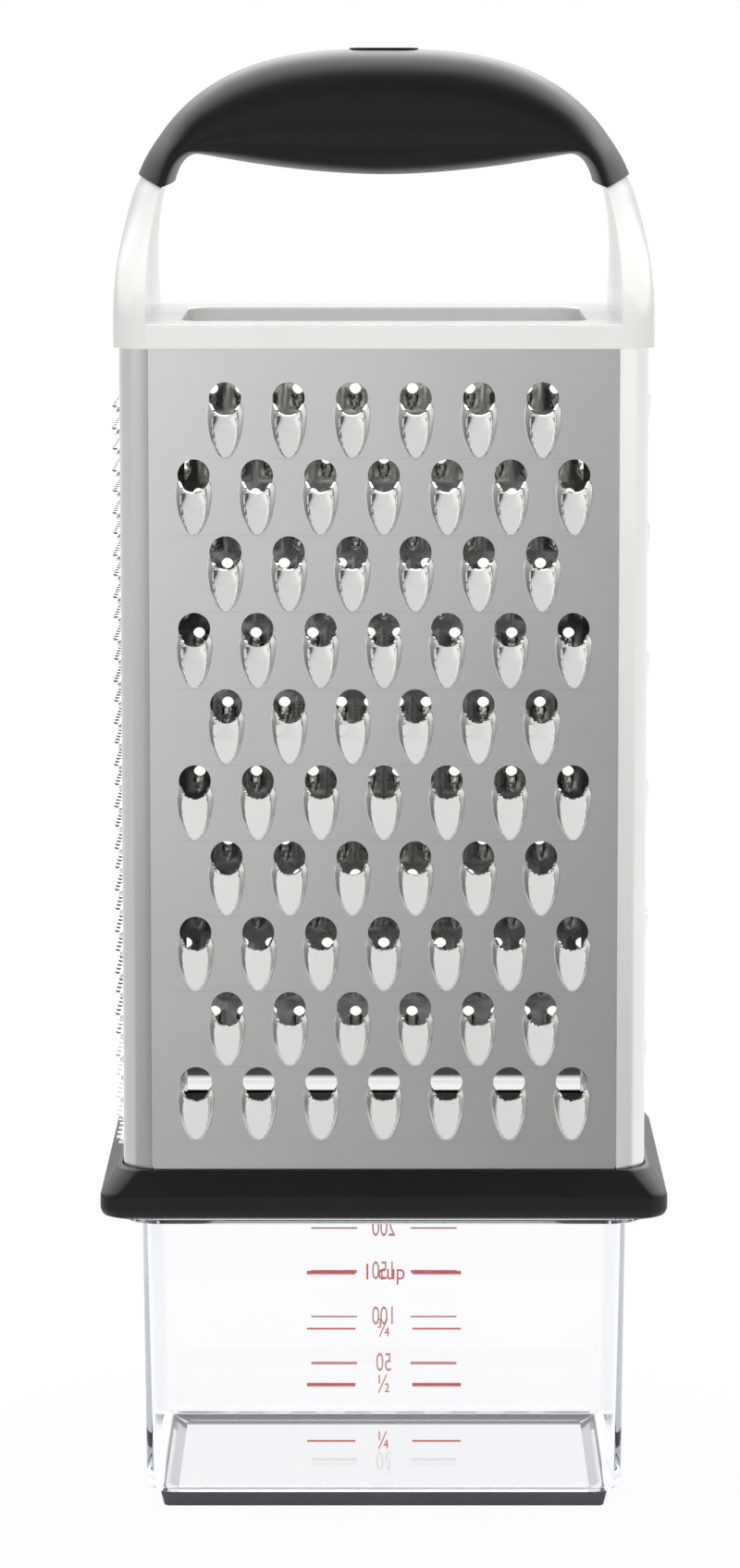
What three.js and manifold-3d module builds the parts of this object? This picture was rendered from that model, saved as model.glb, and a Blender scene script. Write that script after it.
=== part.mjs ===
// Four-sided box grater on a measuring container.
// Four pressed steel panels make a tube. A white handle frame caps its top, a black soft ring its foot,
// and the whole grater lifts off a clear tub. Millimetres, +Z up, the coarse side faces -Y,
// the origin lies on the table under the middle of the tub.
import * as THREE from 'three';
import { mergeVertices } from 'three/addons/utils/BufferGeometryUtils.js';
import Module from 'manifold-3d';

const wasm = await Module();
wasm.setup();

// Steel tube: outline over the outer faces, and the sheet that it is folded from
const bodyWidth = 100.6;
const bodyDepth = 76;
const cornerRadius = 8;
const cornerSweep = THREE.MathUtils.degToRad(73);
const cornerSteps = 4;
const leastCorner = 1.2;
const sheet = 0.5;
const lapWidth = 4.4;

// Heights, from the table upwards
const floorTop = 3.2;
const rimTop = 58.8;
const ringHeight = 9.2;
const panelShow = 157.3;
const collarHeight = 4.7;

// Gaps between pieces that touch on the real grater
const seatGap = 0.2;
const seamGap = 0.3;
const tubPlay = 0.55;

// Clear tub
const tubWall = 1.75;
const tubFloor = 1.8;
const tubDraft = 0.85;
const floorBlendWidth = 4.2;
const floorBlendHeight = 2.2;
const blendSteps = 3;
const rimProud = 0.3;
const rimThickness = 1.3;
const lipHeight = 3;

// Soft foot under the tub
const footInset = 2.6;
const footHeight = 3;
const footTaper = 1.2;
const footLap = 0.3;
const footRound = 0.5;

// Hard frame and soft ring round the foot of the tube
const frameWall = 1.2;
const frameLedge = 1.8;
const frameRise = 1;
const ledgeReach = 1.8;
const ringProud = 3.6;
const ringUpright = 4.4;
const ringEdge = 0.7;
const ringRound = 1.2;
const ringCorner = 4.5;
const roundSag = 1 - Math.SQRT1_2;

// Collar with its mouth, and the liner under it
const collarProud = 1.1;
const collarPlate = 1.8;
const collarRound = 0.6;
const mouthInset = 11.6;
const mouthRadius = 5;
const mouthLip = 3.7;
const mouthRim = 1.4;
const linerWall = 1.6;
const linerDepth = 7;

// Handle arch: a superellipse over the collar, legs that narrow upwards, and the soft grip
const archSink = 2.2;
const archRise = 53.4;
const archPower = 2.7;
const legThickness = 6.4;
const legCorner = 8.7;
const legSteps = 7;
const neckDepth = 30;
const neckThickness = 5.3;
const gripEndHeight = 26.4;
const gripEndThickness = 7;
const gripEndDepth = 33;
const gripDepth = 31;
const gripBelly = 24.2;
const bellyRise = 3.6;
const cornerFillet = 4.2;
const gripSquareness = 2.4;
const gripSteps = 12;
const gripSides = 10;
const coreShare = 0.4;
const coreRoot = 2;
const padLength = 13.4;
const padDepth = 9;
const padRise = 0.7;
const padRoot = 1.4;
const padRadius = 3;

// Coarse tooth: a round hole with a scoop below it
const coarseHole = 3.05;
const coarseDip = THREE.MathUtils.degToRad(20);
const coarseArcSteps = 3;
const coarseWaist = 3.3;
const coarseWaistDrop = 5;
const coarseTip = 1.1;
const coarseLength = 11.35;
const coarseLipDrop = 3.45;
const coarseLipTurn = THREE.MathUtils.degToRad(12);
const coarseCheekTurn = THREE.MathUtils.degToRad(38);
const coarseRise = 2.6;
const coarseCheekRise = 2.25;
const coarsePitch = 12;
const coarseRowPitch = 14.57;
const coarseTopMargin = 9.3;

// Medium tooth: a small kite-shaped hole with a raised point
const mediumHole = 1.6;
const mediumLipDrop = 0.8;
const mediumLength = 4.1;
const mediumRise = 1.3;
const mediumPitch = 5.76;
const mediumRowPitch = 7.07;
const mediumMargin = 9.5;
const mediumTopMargin = 12.4;

// Fine point, and slicing blade
const fineRadius = 1;
const fineTurn = 80;
const fineRise = 2.1;
const finePitch = 6;
const fineRowPitch = 5;
const fineLowMargin = 3;
const fineTopMargin = 10;
const bladeLength = 46;
const bladeSlot = 3;
const bladeRamp = 9;
const bladeRise = 1;
const bladeTaper = 1.4;
const bladePitch = 25;
const punchMargin = 5.4;

// Levels and insets that follow from the sizes above
const ringBottom = rimTop + seatGap;
const ringTop = ringBottom + ringHeight;
const frameBottom = ringBottom + seatGap;
const ledgeTop = frameBottom + frameLedge;
const frameTop = ringTop + frameRise;
const panelBottom = ledgeTop + seatGap;
const collarBottom = ringTop + panelShow;
const collarTop = collarBottom + collarHeight;
const plateBottom = collarTop - collarPlate;
const panelTop = plateBottom - seatGap;
const lapInset = sheet + seamGap;
const innerInset = lapInset + sheet + seamGap;
const tubTop = -(innerInset + frameWall + tubPlay);
const tubBottom = tubTop - tubDraft;

// Corner points of the tube's plan, moved out or in by an offset, counter-clockwise from the front right.
// The corners keep their centre unless they would get too tight or have a radius of their own.
function outline(offset, least = leastCorner, radius = Math.max(cornerRadius + offset, least)) {
  const centreX = bodyWidth / 2 + offset - radius;
  const centreY = bodyDepth / 2 + offset - radius * Math.sin(cornerSweep);
  const corners = [[1, -1, -cornerSweep], [1, 1, 0], [-1, 1, Math.PI - cornerSweep], [-1, -1, Math.PI]];
  const points = [];
  for (const [sideX, sideY, start] of corners) {
    for (let step = 0; step <= cornerSteps; step++) {
      const angle = start + (cornerSweep * step) / cornerSteps;
      points.push([sideX * centreX + radius * Math.cos(angle), sideY * centreY + radius * Math.sin(angle)]);
    }
  }
  return points;
}

// Indexed geometry with its faces pointing out
function faceted(positions, triangles) {
  const corner = (index) => new THREE.Vector3().fromArray(positions, 3 * index);
  let volume = 0;
  for (const [a, b, c] of triangles) {
    volume += corner(a).dot(corner(b).cross(corner(c)));
  }
  const geometry = new THREE.BufferGeometry();
  geometry.setAttribute('position', new THREE.Float32BufferAttribute(positions, 3));
  geometry.setIndex(triangles.flatMap(([a, b, c]) => (volume > 0 ? [a, b, c] : [a, c, b])));
  return geometry;
}

// Skin through a row of loops with equal point counts: a closed ring of loops, or a body capped at both ends
function loft(loops, ring = false) {
  const count = loops[0].length;
  const triangles = [];
  const spans = ring ? loops.length : loops.length - 1;
  for (let span = 0; span < spans; span++) {
    const here = span * count;
    const next = ((span + 1) % loops.length) * count;
    for (let side = 0; side < count; side++) {
      const along = (side + 1) % count;
      triangles.push([here + side, here + along, next + along], [here + side, next + along, next + side]);
    }
  }
  if (!ring) {
    const last = (loops.length - 1) * count;
    for (let side = 1; side < count - 1; side++) {
      triangles.push([0, side + 1, side], [last, last + side, last + side + 1]);
    }
  }
  return faceted(loops.flat(2), triangles);
}

// Moulding that follows the tube's plan: each profile point is an offset from the outline, a height, and
// its own corner radius where it has one
function moulding(profile, ring, least) {
  const loops = profile.map(([offset, z, radius]) => {
    const points = outline(offset, least, radius);
    return points.map(([x, y]) => [x, y, z]);
  });
  return loft(loops, ring);
}

function toManifold(geometry) {
  const bare = geometry.clone();
  bare.deleteAttribute('normal');
  bare.deleteAttribute('uv');
  const merged = mergeVertices(bare);
  const vertProperties = new Float32Array(merged.attributes.position.array);
  const triVerts = new Uint32Array(merged.index.array);
  return new wasm.Manifold(new wasm.Mesh({ numProp: 3, vertProperties, triVerts }));
}

function fromManifold(solid) {
  const mesh = solid.getMesh();
  const geometry = new THREE.BufferGeometry();
  geometry.setAttribute('position', new THREE.Float32BufferAttribute(mesh.vertProperties, 3));
  geometry.setIndex(Array.from(mesh.triVerts));
  return geometry;
}

// Offset of each corner of an open path to its left, mitred so that the sheet keeps its thickness
function mitres(path) {
  const normals = [];
  for (let i = 0; i + 1 < path.length; i++) {
    const run = new THREE.Vector2(path[i + 1][0] - path[i][0], path[i + 1][1] - path[i][1]).normalize();
    normals.push(new THREE.Vector2(-run.y, run.x));
  }
  return path.map((_, i) => {
    const before = normals[Math.max(i - 1, 0)];
    const after = normals[Math.min(i, normals.length - 1)];
    return before.clone().add(after).divideScalar(1 + before.dot(after));
  });
}

// Pressed steel sheet. The path is its outer face in plan, with the outside on the left, and one span of
// the path carries the teeth. A tooth has a root loop on the sheet and an edge loop with heights; a null
// edge point lies on the root, and a tooth with a peak is a solid point without a hole.
function pressedSheet(path, toothedSpan, teeth) {
  const positions = [];
  const triangles = [];
  const addPoint = (x, y, z) => positions.push(x, y, z) / 3 - 1;
  const addTriangle = (a, b, c) => {
    if (a !== b && b !== c && c !== a) {
      triangles.push([a, b, c]);
    }
  };
  const addQuad = (a, b, c, d) => {
    addTriangle(a, b, c);
    addTriangle(a, c, d);
  };
  const shift = mitres(path);
  const stations = path.map(([x, y], i) => {
    const inX = x - sheet * shift[i].x;
    const inY = y - sheet * shift[i].y;
    return {
      front: [addPoint(x, y, panelBottom), addPoint(x, y, panelTop)],
      back: [addPoint(inX, inY, panelBottom), addPoint(inX, inY, panelTop)],
    };
  });
  const start = new THREE.Vector2(...path[toothedSpan]);
  const end = new THREE.Vector2(...path[toothedSpan + 1]);
  const middle = start.clone().add(end).multiplyScalar(0.5);
  const run = end.clone().sub(start).normalize();
  const addLocal = (u, z, out) => addPoint(
    middle.x + u * run.x - out * run.y,
    middle.y + u * run.y + out * run.x,
    z,
  );

  const half = start.distanceTo(end) / 2;
  const contour = [[-half, panelBottom], [half, panelBottom], [half, panelTop], [-half, panelTop]];
  const here = stations[toothedSpan];
  const next = stations[toothedSpan + 1];
  for (const [face, depth] of [['front', 0], ['back', sheet]]) {
    const flip = face === 'front';
    const turned = (a, b, c) => (flip ? addTriangle(a, c, b) : addTriangle(a, b, c));
    const indices = [here[face][0], next[face][0], next[face][1], here[face][1]];
    const holes = [];
    for (const tooth of teeth) {
      if (tooth.peak && face === 'back') {
        continue;
      }
      const root = tooth.root.map(([u, z]) => addLocal(u, z, -depth));
      holes.push(tooth.root.map(([u, z]) => new THREE.Vector2(u, z)));
      indices.push(...root);
      if (tooth.peak) {
        const peak = addLocal(...tooth.peak);
        root.forEach((corner, i) => turned(corner, root[(i + 1) % root.length], peak));
        continue;
      }
      const edge = tooth.edge.map((point, i) => {
        if (!point) {
          return root[i];
        }
        const [u, z, out] = point;
        return addLocal(u, z, out - depth);
      });
      tooth[face] = edge;
      root.forEach((corner, i) => {
        const j = (i + 1) % root.length;
        turned(corner, root[j], edge[j]);
        turned(corner, edge[j], edge[i]);
      });
    }
    const corners = contour.map(([u, z]) => new THREE.Vector2(u, z));
    const flat = [...corners, ...holes.flat()];
    for (const [a, b, c] of THREE.ShapeUtils.triangulateShape(corners, holes)) {
      const area = flat[b].clone().sub(flat[a]).cross(flat[c].clone().sub(flat[a]));
      const order = area > 0 ? [a, b, c] : [a, c, b];
      turned(...order.map((index) => indices[index]));
    }
  }
  for (const tooth of teeth.filter((each) => !each.peak)) {
    tooth.front.forEach((corner, i) => {
      const j = (i + 1) % tooth.front.length;
      addQuad(corner, tooth.back[i], tooth.back[j], tooth.front[j]);
    });
  }
  stations.slice(0, -1).forEach((station, i) => {
    const far = stations[i + 1];
    if (i !== toothedSpan) {
      addQuad(station.front[0], station.front[1], far.front[1], far.front[0]);
      addQuad(station.back[0], far.back[0], far.back[1], station.back[1]);
    }
    addQuad(station.front[0], far.front[0], far.back[0], station.back[0]);
    addQuad(station.front[1], station.back[1], far.back[1], far.front[1]);
  });
  const first = stations[0];
  const last = stations[stations.length - 1];
  addQuad(first.front[0], first.back[0], first.back[1], first.front[1]);
  addQuad(last.front[0], last.front[1], last.back[1], last.back[0]);
  return faceted(positions, triangles);
}

// Staggered rows of places, as many as fit in the given width and between the two heights.
// Every second row has one place fewer, from the top row on unless that one is full.
function staggered(width, low, high, pitch, rowPitch, fullTop = false) {
  const places = [];
  const most = Math.floor(width / pitch) + 1;
  const rows = Math.floor((high - low) / rowPitch) + 1;
  for (let row = 0; row < rows; row++) {
    const full = (row % 2 === 0) === fullTop;
    const count = full ? most : most - 1;
    for (let i = 0; i < count; i++) {
      places.push([(i - (count - 1) / 2) * pitch, high - row * rowPitch]);
    }
  }
  return places;
}

// Scooped tooth: the lower half of the hole's edge is pushed out and falls back to the sheet at the tip
function coarseTooth(u, z) {
  const top = [];
  for (let step = 0; step <= coarseArcSteps; step++) {
    const angle = ((Math.PI + 2 * coarseDip) * step) / coarseArcSteps - coarseDip;
    top.push([u + coarseHole * Math.cos(angle), z + coarseHole * Math.sin(angle)]);
  }
  const lip = (turn, rise) => [u + coarseHole * Math.sin(turn), z - coarseLipDrop * Math.cos(turn), rise];
  return {
    root: [
      ...top,
      [u - coarseWaist, z - coarseWaistDrop],
      [u - coarseTip, z - coarseLength],
      [u + coarseTip, z - coarseLength],
      [u + coarseWaist, z - coarseWaistDrop],
    ],
    edge: [
      ...top.map(() => null),
      lip(-coarseCheekTurn, coarseCheekRise),
      lip(-coarseLipTurn, coarseRise),
      lip(coarseLipTurn, coarseRise),
      lip(coarseCheekTurn, coarseCheekRise),
    ],
  };
}

function mediumTooth(u, z) {
  return {
    root: [[u + mediumHole, z], [u, z + mediumHole], [u - mediumHole, z], [u, z - mediumLength]],
    edge: [null, null, null, [u, z - mediumLipDrop, mediumRise]],
  };
}

function finePoint(u, z) {
  const angles = [0, 120, 240].map((corner) => THREE.MathUtils.degToRad(fineTurn + corner));
  return {
    root: angles.map((angle) => [u + fineRadius * Math.cos(angle), z + fineRadius * Math.sin(angle)]),
    peak: [u, z + fineRadius / 2, fineRise],
  };
}

// Slicing blade: a long ramp that ends in a raised edge below its slot
function slicingBlade(z) {
  const half = bladeLength / 2;
  return {
    root: [
      [half - bladeTaper, z + bladeSlot], [bladeTaper - half, z + bladeSlot], [-half, z],
      [-half, z - bladeRamp], [half, z - bladeRamp], [half, z],
    ],
    edge: [null, null, null, [bladeTaper - half, z, bladeRise], [half - bladeTaper, z, bladeRise], null],
  };
}

// Flat front or back sheet between the two seams
const seamX = outline(0)[0][0];
const flatHalf = seamX - seamGap;
const frontFace = -bodyDepth / 2;

function frontPanel() {
  const high = collarBottom - coarseTopMargin;
  const low = ringTop + coarseLength + punchMargin;
  const width = 2 * (flatHalf - punchMargin);
  const places = staggered(width, low, high, coarsePitch, coarseRowPitch);
  const teeth = places.map(([u, z]) => coarseTooth(u, z));
  return pressedSheet([[flatHalf, frontFace], [-flatHalf, frontFace]], 0, teeth);
}

function backPanel() {
  const high = collarBottom - mediumTopMargin;
  const low = ringTop + mediumLength + mediumMargin;
  const width = 2 * (flatHalf - mediumMargin);
  const places = staggered(width, low, high, mediumPitch, mediumRowPitch, true);
  const teeth = places.map(([u, z]) => mediumTooth(u, z));
  return pressedSheet([[-flatHalf, -frontFace], [flatHalf, -frontFace]], 0, teeth);
}

// Side sheet with its rolled corners and the laps that run behind the front and back sheets.
// The path is that of the right-hand panel, from back to front; the left-hand panel is its half turn.
function sidePath(side) {
  const quarter = outline(0).slice(0, cornerSteps + 1);
  const [creaseX, creaseY] = quarter[0];
  const lapY = creaseY + lapInset;
  const front = [[creaseX - lapWidth, lapY], [creaseX, lapY], ...quarter];
  const back = front.map(([x, y]) => [x, -y]).reverse();
  return [...front, ...back].reverse().map(([x, y]) => [side * x, side * y]);
}

const sideFlat = 2 * Math.abs(outline(0)[cornerSteps][1]);
const sideFlatSpan = cornerSteps + 2;

function leftPanel() {
  const high = collarBottom - fineTopMargin;
  const low = ringTop + fineLowMargin;
  const places = staggered(sideFlat - punchMargin, low, high, finePitch, fineRowPitch);
  const teeth = places.map(([u, z]) => finePoint(u, z));
  return pressedSheet(sidePath(-1), sideFlatSpan, teeth);
}

function rightPanel() {
  const count = Math.floor((panelShow - 2 * punchMargin - bladeRamp) / bladePitch) + 1;
  const top = collarBottom - (panelShow - (count - 1) * bladePitch - bladeRamp) / 2;
  const teeth = [];
  for (let row = 0; row < count; row++) {
    teeth.push(slicingBlade(top - row * bladePitch));
  }
  return pressedSheet(sidePath(1), sideFlatSpan, teeth);
}

// Quarter round in the tub's profile, from its level end up to its upright end
function quarterRound(wall, level, width, height) {
  const points = [];
  for (let step = 0; step <= blendSteps; step++) {
    const angle = (Math.PI / 2) * (step / blendSteps);
    points.push([wall - width + width * Math.sin(angle), level + height - height * Math.cos(angle)]);
  }
  return points;
}

// The tub's underside: a flat, a slope that the foot lies against, and the heel above the foot
const floorEdge = tubBottom - tubWall - floorBlendWidth;
const underside = floorTop - tubFloor;
const footSide = tubBottom - footInset;

function container() {
  const inside = quarterRound(tubBottom - tubWall, floorTop, floorBlendWidth, floorBlendHeight).reverse();
  return moulding([
    [floorEdge, underside],
    ...quarterRound(tubBottom, footHeight + seatGap, footInset, footInset),
    [tubTop, rimTop - rimThickness],
    [rimProud, rimTop - rimThickness],
    [rimProud, rimTop],
    [tubTop, rimTop],
    [tubTop, rimTop + lipHeight],
    [tubTop - tubWall, rimTop + lipHeight],
    ...inside,
  ], false);
}

// The foot lies against the slope of the underside, laps a little under the flat, and stands on the table
function containerFoot() {
  const inner = floorEdge - footLap;
  return moulding([
    [footSide - footTaper - footRound, 0],
    [footSide - footTaper, footRound],
    [footSide, footHeight],
    [floorEdge, underside - seatGap],
    [inner, underside - seatGap],
    [inner + footRound, 0],
  ], true);
}

function baseFrame() {
  const inner = -innerInset - frameWall;
  return moulding([
    [ledgeReach, frameBottom],
    [ledgeReach, ledgeTop],
    [-innerInset, ledgeTop],
    [-innerInset, frameTop],
    [inner, frameTop],
    [inner, frameBottom],
  ], true);
}

function baseRing() {
  const over = ledgeTop + seatGap;
  const round = ledgeReach + seatGap;
  return moulding([
    [ringProud - ringRound, ringBottom, ringCorner],
    [ringProud - ringRound * roundSag, ringBottom + ringRound * roundSag, ringCorner],
    [ringProud, ringBottom + ringRound, ringCorner],
    [ringProud, ringBottom + ringUpright, ringCorner],
    [seatGap + ringEdge, ringTop],
    [seatGap, ringTop],
    [seatGap, over],
    [round, over],
    [round, ringBottom],
  ], true);
}

function collarLiner() {
  const rim = mouthRim - mouthInset + seatGap;
  return moulding([
    [-innerInset, panelTop - linerDepth],
    [-innerInset, panelTop],
    [rim, panelTop],
    [rim, panelTop - linerWall],
    [-innerInset - linerWall, panelTop - linerWall],
    [-innerInset - linerWall, panelTop - linerDepth],
  ], true, mouthRadius);
}

function collar() {
  const rim = mouthRim - mouthInset;
  return moulding([
    [collarProud, collarBottom],
    [collarProud, collarTop - collarRound],
    [collarProud - collarRound, collarTop],
    [collarRound - mouthInset, collarTop],
    [-mouthInset, collarTop - collarRound],
    [-mouthInset, collarTop - mouthLip],
    [rim, collarTop - mouthLip],
    [rim, plateBottom],
    [seatGap, plateBottom],
    [seatGap, collarBottom],
  ], true, mouthRadius);
}

// The arch's outer line
const archHalf = bodyWidth / 2 + collarProud;
const archBase = collarTop - archSink;
const gripEnd = collarTop + gripEndHeight;

function archX(z) {
  const share = (z - archBase) / archRise;
  return archHalf * (1 - share ** archPower) ** (1 / archPower);
}

// Leg: level sections with a straight inner face and round outer corners, narrowing from the collar up
function leg(side) {
  const low = collarTop - collarPlate / 2;
  const fullDepth = bodyDepth + 2 * collarProud;
  const loops = [];
  for (let step = 0; step <= legSteps; step++) {
    const share = step / legSteps;
    const z = low + (gripEnd - seatGap - low) * share;
    const half = THREE.MathUtils.lerp(fullDepth, neckDepth, THREE.MathUtils.smoothstep(share, 0, 1)) / 2;
    const thickness = THREE.MathUtils.lerp(legThickness, neckThickness, share);
    const outer = archX(z);
    const inner = outer - thickness;
    const quarter = [];
    for (let turn = 0; turn <= cornerSteps; turn++) {
      const angle = (Math.PI / 2) * (turn / cornerSteps);
      quarter.push([inner + thickness * Math.sin(angle), half - legCorner + legCorner * Math.cos(angle)]);
    }
    const back = quarter.map(([x, y]) => [side * x, y, z]);
    const front = quarter.map(([x, y]) => [side * x, -y, z]).reverse();
    loops.push([...back, ...front]);
  }
  return loft(loops);
}

// Stations along the grip from its left end to its right end: a point on the outer line, one on the
// underside, and the depth there
function gripStations() {
  const outerEnd = archX(gripEnd);
  const endShare = (gripEnd - archBase) / archRise;
  const endAngle = Math.atan2(endShare ** (archPower / 2), (outerEnd / archHalf) ** (archPower / 2));
  const crown = archBase + archRise;
  const innerEnd = outerEnd - gripEndThickness;
  const belly = crown - gripBelly;
  const filletTop = belly + bellyRise;
  const underside = new THREE.CatmullRomCurve3([
    new THREE.Vector3(-innerEnd, 0, gripEnd),
    new THREE.Vector3(cornerFillet - innerEnd, 0, filletTop),
    new THREE.Vector3(-innerEnd / 2, 0, belly + bellyRise / 4),
    new THREE.Vector3(0, 0, belly),
    new THREE.Vector3(innerEnd / 2, 0, belly + bellyRise / 4),
    new THREE.Vector3(innerEnd - cornerFillet, 0, filletTop),
    new THREE.Vector3(innerEnd, 0, gripEnd),
  ]);
  const stations = [];
  for (let step = 0; step <= gripSteps; step++) {
    const share = step / gripSteps;
    const angle = Math.PI - endAngle - (Math.PI - 2 * endAngle) * share;
    const cos = Math.cos(angle);
    const outer = new THREE.Vector3(
      Math.sign(cos) * archHalf * Math.abs(cos) ** (2 / archPower),
      0,
      archBase + archRise * Math.sin(angle) ** (2 / archPower),
    );
    const inner = underside.getPoint(share);
    const fromMiddle = Math.abs(2 * share - 1);
    const depth = THREE.MathUtils.lerp(gripDepth, gripEndDepth, fromMiddle);
    stations.push({ outer, inner, depth });
  }
  return stations;
}

// Loft of rounded sections between the two points of each station
function gripLoft(stations) {
  return loft(stations.map(({ outer, inner, depth }) => {
    const middle = outer.clone().add(inner).multiplyScalar(0.5);
    const reach = outer.clone().sub(inner).multiplyScalar(0.5);
    const loop = [];
    for (let side = 0; side < gripSides; side++) {
      const angle = (2 * Math.PI * side) / gripSides;
      const across = Math.sign(Math.cos(angle)) * Math.abs(Math.cos(angle)) ** (2 / gripSquareness);
      const along = Math.sign(Math.sin(angle)) * Math.abs(Math.sin(angle)) ** (2 / gripSquareness);
      const point = middle.clone().addScaledVector(reach, along);
      loop.push([point.x, (across * depth) / 2, point.z]);
    }
    return loop;
  }));
}

// Core stations inside the grip, widened by a gap and lengthened below both ends
function coreStations(gap) {
  const inside = gripStations().map(({ outer, inner, depth }) => {
    const middle = outer.clone().add(inner).multiplyScalar(0.5);
    const reach = outer.clone().sub(inner).multiplyScalar(coreShare / 2);
    const wider = reach.clone().setLength(reach.length() + gap);
    return {
      outer: middle.clone().add(wider),
      inner: middle.clone().sub(wider),
      depth: depth * coreShare + 2 * gap,
    };
  });
  const lowered = ({ outer, inner, depth }) => {
    const drop = new THREE.Vector3(0, 0, -coreRoot);
    return { outer: outer.clone().add(drop), inner: inner.clone().add(drop), depth };
  };
  return [lowered(inside[0]), ...inside, lowered(inside[inside.length - 1])];
}

function handleFrame() {
  const core = gripLoft(coreStations(0));
  return fromManifold(
    toManifold(collar()).add(toManifold(leg(1))).add(toManifold(leg(-1))).add(toManifold(core)),
  );
}

function gripPad() {
  const shape = new THREE.Shape();
  const halfX = padLength / 2;
  const halfY = padDepth / 2;
  shape.absarc(halfX - padRadius, halfY - padRadius, padRadius, 0, Math.PI / 2);
  shape.absarc(padRadius - halfX, halfY - padRadius, padRadius, Math.PI / 2, Math.PI);
  shape.absarc(padRadius - halfX, padRadius - halfY, padRadius, Math.PI, 1.5 * Math.PI);
  shape.absarc(halfX - padRadius, padRadius - halfY, padRadius, 1.5 * Math.PI, 2 * Math.PI);
  const depth = padRise + padRoot;
  const pad = new THREE.ExtrudeGeometry(shape, { depth, bevelEnabled: false, curveSegments: cornerSteps });
  return pad.translate(0, 0, archBase + archRise - padRoot);
}

function grip() {
  const hand = toManifold(gripLoft(gripStations()));
  const tunnel = toManifold(gripLoft(coreStations(seamGap)));
  return fromManifold(hand.subtract(tunnel).add(toManifold(gripPad())));
}

const steel = { color: '#c8c8c6', metalness: 1, roughness: 0.28 };
const whitePlastic = { color: '#f2f2ef', metalness: 0, roughness: 0.4 };
const blackRubber = { color: '#1d1e21', metalness: 0, roughness: 0.75 };
const blackPlastic = { color: '#232326', metalness: 0, roughness: 0.5 };
const clearPlastic = { color: '#eef2f5', metalness: 0, roughness: 0.08, transparent: true, opacity: 0.3 };

const grater = new THREE.Group();

function addPiece(name, geometry, finish) {
  const mesh = new THREE.Mesh(geometry, new THREE.MeshStandardMaterial(finish));
  mesh.name = name;
  grater.add(mesh);
}

addPiece('container', container(), clearPlastic);
addPiece('container_foot', containerFoot(), blackRubber);
addPiece('base_frame', baseFrame(), blackPlastic);
addPiece('base_ring', baseRing(), blackRubber);
addPiece('front_panel', frontPanel(), steel);
addPiece('back_panel', backPanel(), steel);
addPiece('left_panel', leftPanel(), steel);
addPiece('right_panel', rightPanel(), steel);
addPiece('collar_liner', collarLiner(), whitePlastic);
addPiece('handle_frame', handleFrame(), whitePlastic);
addPiece('grip', grip(), blackRubber);

export default grater;
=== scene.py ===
# Four-sided box grater on a measuring container. Metres, +Z up, the coarse side faces -Y.
import math

import bmesh
import bpy
from mathutils import Matrix, Vector, geometry


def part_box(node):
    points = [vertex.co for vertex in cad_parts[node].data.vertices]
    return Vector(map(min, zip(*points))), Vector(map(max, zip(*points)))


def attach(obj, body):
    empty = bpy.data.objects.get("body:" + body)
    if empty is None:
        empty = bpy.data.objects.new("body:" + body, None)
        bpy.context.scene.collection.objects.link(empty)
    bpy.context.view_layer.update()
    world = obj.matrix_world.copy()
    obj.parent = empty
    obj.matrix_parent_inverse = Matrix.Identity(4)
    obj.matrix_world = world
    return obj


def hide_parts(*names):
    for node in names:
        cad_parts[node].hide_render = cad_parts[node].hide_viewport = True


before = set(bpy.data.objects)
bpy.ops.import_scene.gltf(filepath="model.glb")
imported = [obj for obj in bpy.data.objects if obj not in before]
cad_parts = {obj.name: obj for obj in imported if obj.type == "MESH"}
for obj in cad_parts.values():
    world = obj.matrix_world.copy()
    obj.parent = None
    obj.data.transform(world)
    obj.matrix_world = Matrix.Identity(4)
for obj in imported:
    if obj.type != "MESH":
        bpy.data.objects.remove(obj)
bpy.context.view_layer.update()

# Measuring container: one clear shell of injection-moulded SAN, drawn in a little towards its floor.
# A flange round its rim carries the grater, and a lip stands up inside the grater's foot.
MM = 0.001
tub_low, tub_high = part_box("container")
RIM_PROUD = 0.3 * MM
BODY_X = tub_high.x - RIM_PROUD
BODY_Y = tub_high.y - RIM_PROUD
CORNER = 8 * MM
CORNER_SWEEP = math.radians(73)
CORNER_STEPS = 14
TUB_WALL = 1.75 * MM
TUB_FLOOR = 1.8 * MM
TUB_INSET_TOP = 3.35 * MM
TUB_INSET_BOTTOM = 4.2 * MM
TUB_HEEL = 2.6 * MM
TUB_HEEL_RISE = 1.8 * MM
TUB_BLEND = (4.2 * MM, 2.2 * MM)
BLEND_STEPS = 8
RIM_THICKNESS = 1.3 * MM
LIP_HEIGHT = 3 * MM
TUB_ROUND = 0.5 * MM
RIM_ROUND = 0.4 * MM
LIP_ROOT_ROUND = 0.3 * MM
LEAST_CORNER = 1.2 * MM
ROUND_STEPS = 5
ROUND_MOST = 0.4
ROUND_SUPPORT = 1.2
FLAT_SUPPORT = 0.5 * MM
NEAR_END = 0.01
WELD = 0.002 * MM
RIM_TOP = tub_high.z - LIP_HEIGHT
FLOOR_UNDERSIDE = tub_low.z
CLEAR_TINT = "#ffffff"
CLEAR_STREAK = "#fdfdff"
CLEAR_DEEP = "#eceef1"
CLEAR_IOR = 1.3
MOST_TURNS = 4.5
FLOW_LINE = 22 * MM


def to_linear(code):
    channels = [int(code[i:i + 2], 16) / 255 for i in (1, 3, 5)]
    return [c / 12.92 if c <= 0.04045 else ((c + 0.055) / 1.055) ** 2.4 for c in channels] + [1.0]


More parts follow.
